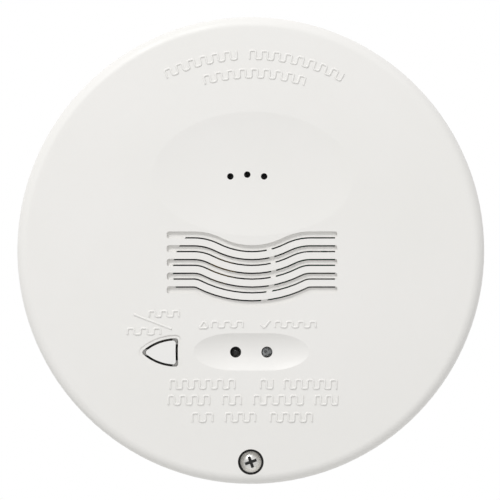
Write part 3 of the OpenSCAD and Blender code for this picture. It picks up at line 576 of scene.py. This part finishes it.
class Tree:
    """A geometry tree with named inputs, which ends in Realize Instances and Set Material."""

    def __init__(self, name: str, counts: Sequence[str], lengths: Sequence[str],
                 points: Sequence[str] = ()) -> None:
        """Starts the tree.

        Args:
            name: The tree's name.
            counts: Its whole-number inputs.
            lengths: Its number inputs.
            points: Its vector inputs.
        """
        self.group = bpy.data.node_groups.new(name, "GeometryNodeTree")
        face = self.group.interface
        for kind, labels in (("Geometry", ("Geometry",)), ("Int", counts), ("Float", lengths),
                             ("Vector", points), ("Material", ("Material",))):
            for label in labels:
                face.new_socket(label, in_out="INPUT", socket_type="NodeSocket" + kind)
        face.new_socket("Geometry", in_out="OUTPUT", socket_type="NodeSocketGeometry")
        self.nodes = Nodes(self.group)
        self.given = self.nodes.add("NodeGroupInput").outputs

    def finish(self, geometry: Socket) -> bpy.types.GeometryNodeTree:
        """Ends the tree with Realize Instances and Set Material.

        Args:
            geometry: What the tree has made.

        Returns:
            The finished tree.
        """
        real = self.nodes.add("GeometryNodeRealizeInstances", None, Geometry=geometry)
        dressed = self.nodes.add("GeometryNodeSetMaterial", None, Geometry=real.outputs[0],
                                 Material=self.given["Material"])
        self.nodes.add("NodeGroupOutput", None, Geometry=dressed.outputs[0])
        return self.group

    def sweep(self, curve: Socket, width: Any, height: Any, sides: int) -> Socket:
        """Sweeps an oval section along a curve, its height along the curve's own normal.

        Args:
            curve: The path.
            width: The section's width.
            height: The section's height.
            sides: Number of sides of the section.

        Returns:
            The swept mesh.
        """
        round_curve = self.nodes.add("GeometryNodeCurvePrimitiveCircle", None, Resolution=sides, Radius=0.5)
        size = self.nodes.add("ShaderNodeCombineXYZ", None, X=width, Y=height, Z=1.0)
        oval = self.nodes.add("GeometryNodeTransform", None, Geometry=round_curve.outputs[0],
                              Scale=size.outputs[0])
        swept = self.nodes.add("GeometryNodeCurveToMesh", None, Curve=curve, Profile_Curve=oval.outputs[0],
                               Fill_Caps=True)
        return swept.outputs[0]


# ----------------------------------------------------------- the cover's marks


@dataclass(frozen=True)
class MarkRow:
    """One raised row: runs of a plain folded line that stand in for a line of words."""

    middle: Point2
    height: float
    runs: Tuple[Point2, ...]
    bend_radius: float = 0.0


@dataclass
class RaisedMarks:
    """The low moulded marks on the cover's face, in millimetres from the middle of the face."""

    rows: Tuple[MarkRow, ...] = (
        MarkRow((0.0, 63.2), 3.3, ((-28.4, -4.6), (-0.4, 30.6)), 63.2),
        MarkRow((0.6, 57.2), 3.3, ((-15.8, 17.0),), 57.2),
        MarkRow((0.0, -23.8), 2.5, ((-12.6, -2.6), (7.8, 20.9))),
        MarkRow((0.0, -20.3), 2.5, ((-32.8, -23.2),)),
        MarkRow((0.0, -25.9), 2.6, ((-39.8, -29.2),)),
        MarkRow((0.0, -43.1), 3.5, ((-26.0, -5.2), (3.2, 7.0), (10.8, 27.6))),
        MarkRow((0.0, -48.2), 3.5, ((-26.6, -13.4), (-9.0, -3.2), (1.0, 16.8), (20.8, 27.9))),
        MarkRow((0.0, -53.8), 3.4, ((-18.9, -12.4), (-8.1, 1.4), (6.4, 19.7))),
    )
    step: float = 1.95
    stroke: float = 0.7
    proud: float = 0.36
    corner: float = 0.5
    flat_radius: float = 26.0
    crown_radius: float = 909.3
    stroke_sides: int = 10
    straight_radius: float = 4000.0
    shared_inputs: Tuple[str, ...] = ("Flat Radius", "Crown Radius", "Face Depth", "Corner", "Stroke",
                                      "Proud")

    def lift(self, tree: Tree, geometry: Socket) -> Socket:
        """Lays a flat path on the face, rounds its corners and sweeps the stroke along it.

        Args:
            tree: The tree to build in.
            geometry: Mesh edges that lie in the plane of the wall.

        Returns:
            The swept mesh.
        """
        nodes = tree.nodes
        across, _, up = nodes.apart(nodes.add("GeometryNodeInputPosition").outputs[0])
        far = nodes.math("SQRT", nodes.math("ADD", nodes.math("MULTIPLY", across, across),
                                            nodes.math("MULTIPLY", up, up)))
        beyond = nodes.math("MAXIMUM", nodes.math("SUBTRACT", far, tree.given["Flat Radius"]), 0.0)
        crown = tree.given["Crown Radius"]
        fall = nodes.math("DIVIDE", nodes.math("MULTIPLY", beyond, beyond),
                          nodes.math("MULTIPLY", crown, 2.0))
        out = nodes.math("SUBTRACT", fall, tree.given["Face Depth"])
        laid = nodes.add("GeometryNodeSetPosition", None, Geometry=geometry,
                         Position=nodes.add("ShaderNodeCombineXYZ", None, X=across, Y=out, Z=up).outputs[0])
        path = nodes.add("GeometryNodeMeshToCurve", None, Mesh=laid.outputs[0])
        rounded = nodes.add("GeometryNodeFilletCurve", {"mode": "POLY"}, Curve=path.outputs[0], Count=3,
                            Radius=tree.given["Corner"])
        facing = nodes.add("GeometryNodeSetCurveNormal", {"mode": "FREE"}, Curve=rounded.outputs[0],
                           Normal=(0.0, -1.0, 0.0))
        return tree.sweep(facing.outputs[0], tree.given["Stroke"],
                          nodes.math("MULTIPLY", tree.given["Proud"], 2.0), self.stroke_sides)

    def folded_tree(self) -> bpy.types.GeometryNodeTree:
        """Builds the tree of one run: a line folded up and down, straight or bent round the face.

        Returns:
            The tree.
        """
        tree = Tree("folded_run", ("Points",), self.shared_inputs + (
            "Start", "Step", "Height", "Bend Radius", "Middle X", "Middle Z"))
        nodes, given = tree.nodes, tree.given
        index = nodes.add("GeometryNodeInputIndex").outputs[0]
        fold = nodes.math("FLOOR", nodes.math("DIVIDE", index, 2.0))
        along = nodes.math("ADD", given["Start"], nodes.math("MULTIPLY", fold, given["Step"]))
        is_high = nodes.math("LESS_THAN", nodes.math("MODULO", nodes.math("ADD", index, 3.0), 4.0), 1.5)
        rise = nodes.math("MULTIPLY", nodes.math("SUBTRACT", is_high, 0.5), given["Height"])
        radius = nodes.math("ADD", given["Bend Radius"], rise)
        angle = nodes.math("DIVIDE", along, given["Bend Radius"])
        bend_z = nodes.math("SUBTRACT", given["Middle Z"], given["Bend Radius"])
        aside = nodes.math("MULTIPLY", radius, nodes.math("SINE", angle))
        above = nodes.math("MULTIPLY", radius, nodes.math("COSINE", angle))
        spot = nodes.add("ShaderNodeCombineXYZ", None, X=nodes.math("ADD", given["Middle X"], aside),
                         Y=0.0, Z=nodes.math("ADD", bend_z, above))
        line = nodes.add("GeometryNodeMeshLine", None, Count=given["Points"])
        folded = nodes.add("GeometryNodeSetPosition", None, Geometry=line.outputs[0],
                           Position=spot.outputs[0])
        return tree.finish(self.lift(tree, folded.outputs[0]))

    def path_tree(self) -> bpy.types.GeometryNodeTree:
        """Builds the tree that turns drawn lines into raised strokes.

        Returns:
            The tree.
        """
        tree = Tree("raised_path", (), self.shared_inputs)
        return tree.finish(self.lift(tree, tree.given["Geometry"]))

    def shared_values(self, material: bpy.types.Material) -> Dict[str, Any]:
        """Lists the inputs that every mark shares.

        Args:
            material: The cover's own material.

        Returns:
            The values by input name.
        """
        return {"Flat Radius": self.flat_radius * MM, "Crown Radius": self.crown_radius * MM,
                "Face Depth": -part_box("front_cover")[0][1], "Corner": self.corner * MM,
                "Stroke": self.stroke * MM, "Proud": self.proud * MM, "Material": material}

    def signs(self) -> List[List[Point2]]:
        """Draws the plain signs: a triangle for alarm, a tick for normal and a divider.

        Returns:
            Each sign's points.
        """
        triangle = [(-16.6, -25.0), (-13.6, -25.0), (-15.1, -22.5), (-16.6, -25.0)]
        tick = [(3.2, -23.9), (4.2, -25.1), (6.2, -22.6)]
        divider = [(-37.8, -20.6), (-25.6, -25.3)]
        return [triangle, tick, divider]

    def build(self, wardrobe: Wardrobe) -> bpy.types.Object:
        """Makes every mark as one piece that rides on the cover.

        Args:
            wardrobe: The shared finishes.

        Returns:
            The piece.
        """
        shared = self.shared_values(wardrobe.get(COVER))
        tree = self.folded_tree()
        parts: List[bpy.types.Object] = []
        for row in self.rows:
            for start, end in row.runs:
                folds = max(1, round((end - start) / self.step))
                parts.append(grown("run", tree, {
                    **shared, "Points": 2 * folds + 2, "Start": start * MM,
                    "Step": (end - start) / folds * MM,
                    "Height": (row.height - self.stroke) * MM, "Middle X": row.middle[0] * MM,
                    "Middle Z": row.middle[1] * MM,
                    "Bend Radius": (row.bend_radius or self.straight_radius) * MM}))
        path = self.path_tree()
        for points in self.signs():
            drawn = bpy.data.meshes.new("sign")
            drawn.from_pydata([(x * MM, 0.0, z * MM) for x, z in points],
                              [(k, k + 1) for k in range(len(points) - 1)], [])
            parts.append(grown("sign_part", path, shared, drawn))
        piece = merged("raised_marks", parts)
        wardrobe.put_on(piece, COVER)
        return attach(piece, "cover")


# ----------------------------------------------------- pieces behind the cover


@dataclass
class DustScreen:
    """A stiff disc of black woven mesh in a moulded rim, behind the gas holes."""

    pitch: float = 0.62 * MM
    thread: float = 0.2 * MM
    rim_width: float = 0.9 * MM
    thread_sides: int = 6

    def thread_tree(self) -> bpy.types.GeometryNodeTree:
        """Builds the tree of one set of threads, each weaving over and under the other set.

        Returns:
            The tree.
        """
        tree = Tree("woven_threads", ("Count",), ("Pitch", "Thread", "Reach"))
        nodes, given = tree.nodes, tree.given
        index = nodes.add("GeometryNodeInputIndex").outputs[0]
        column = nodes.math("MODULO", index, given["Count"])
        row = nodes.math("FLOOR", nodes.math("DIVIDE", nodes.math("ADD", index, 0.5), given["Count"]))
        half = nodes.math("MULTIPLY", nodes.math("SUBTRACT", given["Count"], 1.0), 0.5)
        odd = nodes.math("MODULO", nodes.math("ADD", column, row), 2.0)
        weave = nodes.math("MULTIPLY", nodes.math("SUBTRACT", odd, 0.5), given["Thread"])
        across = nodes.math("MULTIPLY", nodes.math("SUBTRACT", column, half), given["Pitch"])
        up = nodes.math("MULTIPLY", nodes.math("SUBTRACT", row, half), given["Pitch"])
        spot = nodes.add("ShaderNodeCombineXYZ", None, X=across, Y=weave, Z=up)
        line = nodes.add("GeometryNodeMeshLine", None, Count=given["Count"])
        rows = nodes.add("GeometryNodeMeshLine", None, Count=given["Count"])
        many = nodes.add("GeometryNodeInstanceOnPoints", None, Points=rows.outputs[0],
                         Instance=line.outputs[0])
        real = nodes.add("GeometryNodeRealizeInstances", None, Geometry=many.outputs[0])
        laid = nodes.add("GeometryNodeSetPosition", None, Geometry=real.outputs[0],
                         Position=spot.outputs[0])
        place = nodes.add("ShaderNodeVectorMath", {"operation": "LENGTH"},
                          i0=nodes.add("GeometryNodeInputPosition").outputs[0])
        outside = nodes.math("GREATER_THAN", place.outputs["Value"], given["Reach"])
        trimmed = nodes.add("GeometryNodeDeleteGeometry", {"domain": "POINT"}, Geometry=laid.outputs[0],
                            Selection=outside)
        path = nodes.add("GeometryNodeMeshToCurve", None, Mesh=trimmed.outputs[0])
        swept = tree.sweep(path.outputs[0], given["Thread"], given["Thread"], self.thread_sides)
        return tree.finish(swept)

    def build(self, wardrobe: Wardrobe) -> bpy.types.Object:
        """Weaves the screen, adds its rim and puts it in the CAD disc's place.

        Args:
            wardrobe: The shared finishes.

        Returns:
            The piece.
        """
        low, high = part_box("dust_screen")
        middle = middle_of("dust_screen")
        radius, thick = (high[0] - low[0]) / 2, high[1] - low[1]
        reach = radius - self.rim_width / 2
        count = 2 * int(reach / self.pitch) + 1
        values = {"Count": count, "Pitch": self.pitch, "Thread": self.thread, "Reach": reach,
                  "Material": wardrobe.get(SCREEN)}
        tree = self.thread_tree()
        sets = [grown("warp", tree, values), grown("weft", tree, values)]
        for vertex in sets[1].data.vertices:
            x, y, z = vertex.co
            vertex.co = (z, -y, x)
        for each in sets:
            for vertex in each.data.vertices:
                vertex.co += Vector(middle)
        rim = bmesh.new()
        inner, edge = radius - self.rim_width, 0.15 * thick
        turned(rim, ((inner, -thick / 2 + edge), (inner + edge, -thick / 2), (radius - edge, -thick / 2),
                     (radius, -thick / 2 + edge), (radius, thick / 2 - edge), (radius - edge, thick / 2),
                     (inner + edge, thick / 2), (inner, thick / 2 - edge)), middle)
        sets.append(keep_mesh(rim, "screen_rim"))
        piece = merged("woven_dust_screen", sets)
        wardrobe.put_on(piece, SCREEN)
        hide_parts("dust_screen")
        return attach(piece, "cover")


@dataclass
class CoilWinding:
    """Enamelled wire wound in one layer on the driving coil's core."""

    wire: float = 0.24 * MM
    looseness: float = 1.04
    flange: float = 1.2 * MM
    core_radius: float = 3.5 * MM
    steps_per_turn: int = 28
    wire_sides: int = 6

    def tree(self) -> bpy.types.GeometryNodeTree:
        """Builds the tree that winds a wire round a core along Y.

        Returns:
            The tree.
        """
        tree = Tree("wound_wire", ("Points",), ("Radius", "Turn Steps", "Pitch", "Wire"), ("Middle",))
        nodes, given = tree.nodes, tree.given
        index = nodes.add("GeometryNodeInputIndex").outputs[0]
        turns = nodes.math("DIVIDE", index, given["Turn Steps"])
        angle = nodes.math("MULTIPLY", turns, 2 * math.pi)
        spot = nodes.add("ShaderNodeCombineXYZ", None,
                         X=nodes.math("MULTIPLY", given["Radius"], nodes.math("COSINE", angle)),
                         Y=nodes.math("MULTIPLY", turns, given["Pitch"]),
                         Z=nodes.math("MULTIPLY", given["Radius"], nodes.math("SINE", angle)))
        moved = nodes.add("ShaderNodeVectorMath", {"operation": "ADD"}, i0=spot.outputs[0],
                          i1=given["Middle"])
        line = nodes.add("GeometryNodeMeshLine", None, Count=given["Points"])
        wound = nodes.add("GeometryNodeSetPosition", None, Geometry=line.outputs[0],
                          Position=moved.outputs[0])
        path = nodes.add("GeometryNodeMeshToCurve", None, Mesh=wound.outputs[0])
        return tree.finish(tree.sweep(path.outputs[0], given["Wire"], given["Wire"], self.wire_sides))

    def build(self, wardrobe: Wardrobe) -> bpy.types.Object:
        """Winds the wire between the core's flanges.

        Args:
            wardrobe: The shared finishes.

        Returns:
            The piece.
        """
        low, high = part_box("horn_coil")
        start = low[1] + self.flange + self.wire / 2
        end = high[1] - self.flange - self.wire / 2
        pitch = self.looseness * self.wire
        turns = int((end - start) / pitch)
        x, _, z = middle_of("horn_coil")
        piece = grown("coil_winding", self.tree(), {
            "Points": turns * self.steps_per_turn + 1, "Radius": self.core_radius + self.wire / 2,
            "Turn Steps": float(self.steps_per_turn), "Pitch": pitch, "Wire": self.wire,
            "Middle": (x, start, z), "Material": wardrobe.get(COPPER)})
        wardrobe.put_on(piece, COPPER)
        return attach(piece, "base")


@dataclass
class ButtonSpring:
    """The coil spring round the button's stem."""

    wire: float = 0.6 * MM
    turns: int = 5
    steps_per_turn: int = 36
    wire_sides: int = 12
    travel: float = 0.8 * MM

    def build(self, wardrobe: Wardrobe) -> bpy.types.Object:
        """Winds the spring between the bracket and the button.

        Args:
            wardrobe: The shared finishes.

        Returns:
            The piece.
        """
        low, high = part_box("button_spring")
        x, _, z = middle_of("button_spring")
        length = high[1] - low[1]
        piece = grown("wound_spring", CoilWinding(wire_sides=self.wire_sides).tree(), {
            "Points": self.turns * self.steps_per_turn + 1, "Radius": (high[0] - low[0] - self.wire) / 2,
            "Turn Steps": float(self.steps_per_turn), "Pitch": (length - self.wire) / self.turns,
            "Wire": self.wire, "Middle": (x, low[1] + self.wire / 2, z),
            "Material": wardrobe.get(SPRING)})
        wardrobe.put_on(piece, SPRING)
        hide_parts("button_spring")
        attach(piece, "cover")
        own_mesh(piece)
        return piece


@dataclass
class LampFrames:
    """The metal cup and posts that are seen inside each lamp's resin."""

    cup_radius: float = 0.85 * MM
    cup_depth: float = 0.5 * MM
    cup_below_tip: float = 2.1 * MM
    cup_section: Tuple[Point2, ...] = ((0.25, 1.0), (0.45, 1.0), (0.95, 0.0), (1.0, 0.0), (1.0, 1.0),
                                       (0.8, 1.6), (0.25, 1.6))
    cup_sides: int = 24
    posts_below: Point2 = (0.9, 0.2)
    post_width: float = 0.5 * MM
    foot_inset: float = 0.2 * MM
    lead_half: float = 1.27 * MM / 2

    def build(self, wardrobe: Wardrobe) -> bpy.types.Object:
        """Makes the cups and posts of both lamps.

        Args:
            wardrobe: The shared finishes.

        Returns:
            The piece.
        """
        made = bmesh.new()
        for node in ("alarm_lamp", "normal_lamp"):
            low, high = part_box(node)
            x, _, z = middle_of(node)
            cup_y = low[1] + self.cup_below_tip
            cup, deep = self.cup_radius, self.cup_depth
            section = tuple((r * cup, y * deep) for r, y in self.cup_section)
            turned(made, section, (x, cup_y, z), self.cup_sides)
            foot = high[1] - self.foot_inset
            for side, below in zip((-1, 1), self.posts_below):
                post_x = x + side * self.lead_half
                top = cup_y + below * deep
                for vertex in bmesh.ops.create_cube(made, size=1.0)["verts"]:
                    vertex.co = (post_x + vertex.co.x * self.post_width,
                                 (top + foot) / 2 + vertex.co.y * (foot - top),
                                 z + vertex.co.z * self.post_width)
        piece = keep_mesh(made, "lamp_frames", smooth=False)
        wardrobe.put_on(piece, TINNED)
        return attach(piece, "base")


@dataclass
class BoardInk:
    """Thin printed outlines round the parts on the board."""

    line: float = 0.18 * MM
    thick: float = 0.03 * MM
    margin: float = 0.7 * MM
    square_parts: Tuple[str, ...] = ("alarm_relay", "trouble_relay", "microcontroller", "amplifier_chip",
                                     "regulator", "crystal", "tact_switch")
    round_parts: Tuple[str, ...] = ("horn_housing", "sensor_can", "horn_coil")
    round_steps: int = 72

    def outline(self, made: bmesh.types.BMesh, inner: Sequence[Point2], outer: Sequence[Point2],
                face_y: float) -> None:
        """Adds one closed printed line.

        Args:
            made: Where the faces go.
            inner: Its inner edge, as X and Z points.
            outer: Its outer edge, with as many points.
            face_y: The board's face.
        """
        raised_y = face_y - self.thick
        layers = [(inner, face_y), (inner, raised_y), (outer, raised_y), (outer, face_y)]
        loops = [[made.verts.new((x, y, z)) for x, z in edge] for edge, y in layers]
        for j in range(4):
            this, following = loops[j], loops[(j + 1) % 4]
            for k in range(len(inner)):
                n = (k + 1) % len(inner)
                made.faces.new((this[k], this[n], following[n], following[k]))

    def edge(self, node: str, grow: float) -> List[Point2]:
        """Draws a line round a part.

        Args:
            node: The part's node.
            grow: How far outside the part it runs.

        Returns:
            The line's X and Z points.
        """
        low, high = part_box(node)
        if node in self.square_parts:
            return [(low[0] - grow, low[2] - grow), (high[0] + grow, low[2] - grow),
                    (high[0] + grow, high[2] + grow), (low[0] - grow, high[2] + grow)]
        x, _, z = middle_of(node)
        radius = (high[0] - low[0]) / 2 + grow
        angles = [2 * math.pi * k / self.round_steps for k in range(self.round_steps)]
        return [(x + radius * math.cos(a), z + radius * math.sin(a)) for a in angles]

    def build(self, wardrobe: Wardrobe) -> bpy.types.Object:
        """Prints every outline as one piece.

        Args:
            wardrobe: The shared finishes.

        Returns:
            The piece.
        """
        made = bmesh.new()
        face_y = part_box("circuit_board")[0][1]
        for node in self.square_parts + self.round_parts:
            inner = self.edge(node, self.margin)
            outer = self.edge(node, self.margin + self.line)
            self.outline(made, inner, outer, face_y)
        piece = keep_mesh(made, "board_outlines", smooth=False)
        wardrobe.put_on(piece, INK)
        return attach(piece, "base")


# ----------------------------------------------------- the CAD nodes' finishes


@dataclass(frozen=True)
class CadDress:
    """Which finish each carried-over CAD node wears."""

    wears: Tuple[Tuple[Finish, Tuple[str, ...]], ...] = (
        (COVER, ("front_cover",)),
        (BUTTON, ("test_button",)),
        (BASE, ("base_plate",)),
        (INNER, ("button_bracket", "lamp_spacers", "sensor_cap")),
        (ZINC, ("bracket_screws", "board_screws", "terminal_screws")),
        (NICKEL, ("cover_screw",)),
        (NYLON_RING, ("screw_retainer",)),
        (BRASS, ("screw_insert", "piezo_plate", "terminal_cages")),
        (BOARD, ("circuit_board",)),
        (HORN, ("horn_housing",)),
        (CERAMIC, ("piezo_ceramic",)),
        (TINNED, ("horn_contacts", "sensor_pins", "lamp_leads", "tact_plate", "crystal")),
        (SENSOR_STEEL, ("sensor_can",)),
        (CHARCOAL, ("sensor_filter",)),
        (RUBBER, ("sensor_gasket",)),
        (SMOKED, ("alarm_lamp",)),
        (CLEAR, ("normal_lamp",)),
        (EPOXY, ("tact_switch", "tact_plunger", "microcontroller", "amplifier_chip", "regulator",
                 "power_diodes", "chip_resistors")),
        (TERMINAL, ("terminal_block",)),
        (RELAY_BLACK, ("alarm_relay",)),
        (RELAY_BLUE, ("trouble_relay",)),
        (SLEEVE, ("electrolytics",)),
        (HORN, ("horn_coil",)),
        (SOLDER, ("solder_joints",)),
    )
    replaced: Tuple[str, ...] = ("dust_screen", "button_spring")

    def build(self, wardrobe: Wardrobe) -> int:
        """Dresses every CAD node that is shown.

        Args:
            wardrobe: The shared finishes.

        Returns:
            How many nodes were dressed.
        """
        dressed = {name: finish for finish, names in self.wears for name in names}
        left = set(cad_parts) - set(dressed) - set(self.replaced)
        if left:
            raise ValueError(f"no finish for {sorted(left)}")
        for name, finish in dressed.items():
            wardrobe.put_on(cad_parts[name], finish)
        return len(dressed)


# ------------------------------------------------------------------- the studio


@dataclass(frozen=True)
class Lamp:
    """One soft light."""

    name: str
    place: Point3
    size: float
    watts: float

    def build(self, target: Point3) -> None:
        """Hangs the light and turns it to the target.

        Args:
            target: The point that it faces.
        """
        data = bpy.data.lights.new(self.name, "AREA")
        data.shape, data.size, data.energy = "DISK", self.size, self.watts
        light = bpy.data.objects.new(self.name, data)
        bpy.context.scene.collection.objects.link(light)
        light.location = self.place
        light.rotation_euler = (Vector(target) - Vector(self.place)).to_track_quat("-Z", "Y").to_euler()


@dataclass
class Studio:
    """Floor, lights, surroundings and camera."""

    camera_distance: float = 2.5
    camera_rise: float = 0.2
    view_width: float = 0.1624
    aim: Point3 = (-0.00026, -0.016, 0.0001)
    sensor: float = 36.0
    floor_z: float = -1.5
    floor_half: float = 2.5
    ambient_below: float = 0.6
    ambient_above: float = 0.7
    glow_behind: float = 0.6
    lamps: Tuple[Lamp, ...] = (
        Lamp("key", (-0.7, -1.5, 1.6), 0.6, 26.0),
        Lamp("fill", (0.9, -2.2, 0.3), 1.4, 2.0),
    )

    def floor(self) -> None:
        """Lays the plain pale floor."""
        made = bmesh.new()
        h = self.floor_half
        corners = [made.verts.new((x, y, self.floor_z)) for x, y in ((-h, -h), (h, -h), (h, h), (-h, h))]
        made.faces.new(corners)
        plain = keep_mesh(made, "floor", smooth=False)
        material = bpy.data.materials.new("floor_paint")
        material.use_nodes = True
        shader = material.node_tree.nodes["Principled BSDF"]
        shader.inputs["Base Color"].default_value = (0.8, 0.8, 0.79, 1.0)
        shader.inputs["Roughness"].default_value = 0.8
        plain.data.materials.append(material)

    def surroundings(self) -> None:
        """Makes a white room that is a little darker below and brightest behind the object."""
        world = bpy.data.worlds.new("white_room")
        bpy.context.scene.world = world
        world.use_nodes = True
        world.node_tree.nodes.clear()
        nodes = Nodes(world.node_tree)
        seen = nodes.add("ShaderNodeLightPath").outputs["Is Camera Ray"]
        _, back, up = nodes.apart(nodes.add("ShaderNodeTexCoord").outputs["Generated"])
        ambient = nodes.math("ADD", nodes.spread(up, self.ambient_below, self.ambient_above, -1.0, 1.0),
                             nodes.spread(back, 0.0, self.glow_behind, 0.0, 1.0))
        strength = nodes.add("ShaderNodeMapRange", None, i0=seen, i1=0.0, i2=1.0, i3=ambient, i4=1.0)
        glow = nodes.add("ShaderNodeBackground", None, Color=(1.0, 1.0, 1.0, 1.0),
                         Strength=strength.outputs[0])
        nodes.add("ShaderNodeOutputWorld", None, Surface=glow.outputs[0])

    def camera(self) -> None:
        """Sets the camera far in front, almost level with the object's middle."""
        data = bpy.data.cameras.new("camera")
        data.sensor_width = self.sensor
        data.lens = self.sensor * self.camera_distance / self.view_width
        data.clip_end = 50.0
        camera = bpy.data.objects.new("camera", data)
        bpy.context.scene.collection.objects.link(camera)
        rise = math.radians(self.camera_rise)
        aim = Vector(self.aim)
        back = Vector((0.0, -math.cos(rise), math.sin(rise)))
        camera.location = aim + back * self.camera_distance
        camera.rotation_euler = (-back).to_track_quat("-Z", "Y").to_euler()
        bpy.context.scene.camera = camera

    def build(self) -> None:
        """Sets up the whole studio."""
        self.floor()
        self.surroundings()
        for lamp in self.lamps:
            lamp.build((0.0, 0.0, 0.0))
        self.camera()
        bpy.context.scene.view_settings.view_transform = "Standard"


def main() -> None:
    """Builds the studio, dresses the CAD nodes and makes every added piece, in order."""
    logging.basicConfig(level=logging.INFO, format="%(name)s: %(message)s")
    wardrobe = Wardrobe()
    Studio().build()
    LOG.info("CAD nodes dressed: %d", CadDress().build(wardrobe))
    for maker in (RaisedMarks(), DustScreen(), ButtonSpring(), CoilWinding(), LampFrames(), BoardInk()):
        piece = maker.build(wardrobe)
        LOG.info("%s: %d faces", piece.name, len(piece.data.polygons))


if __name__ == "__main__":
    main()
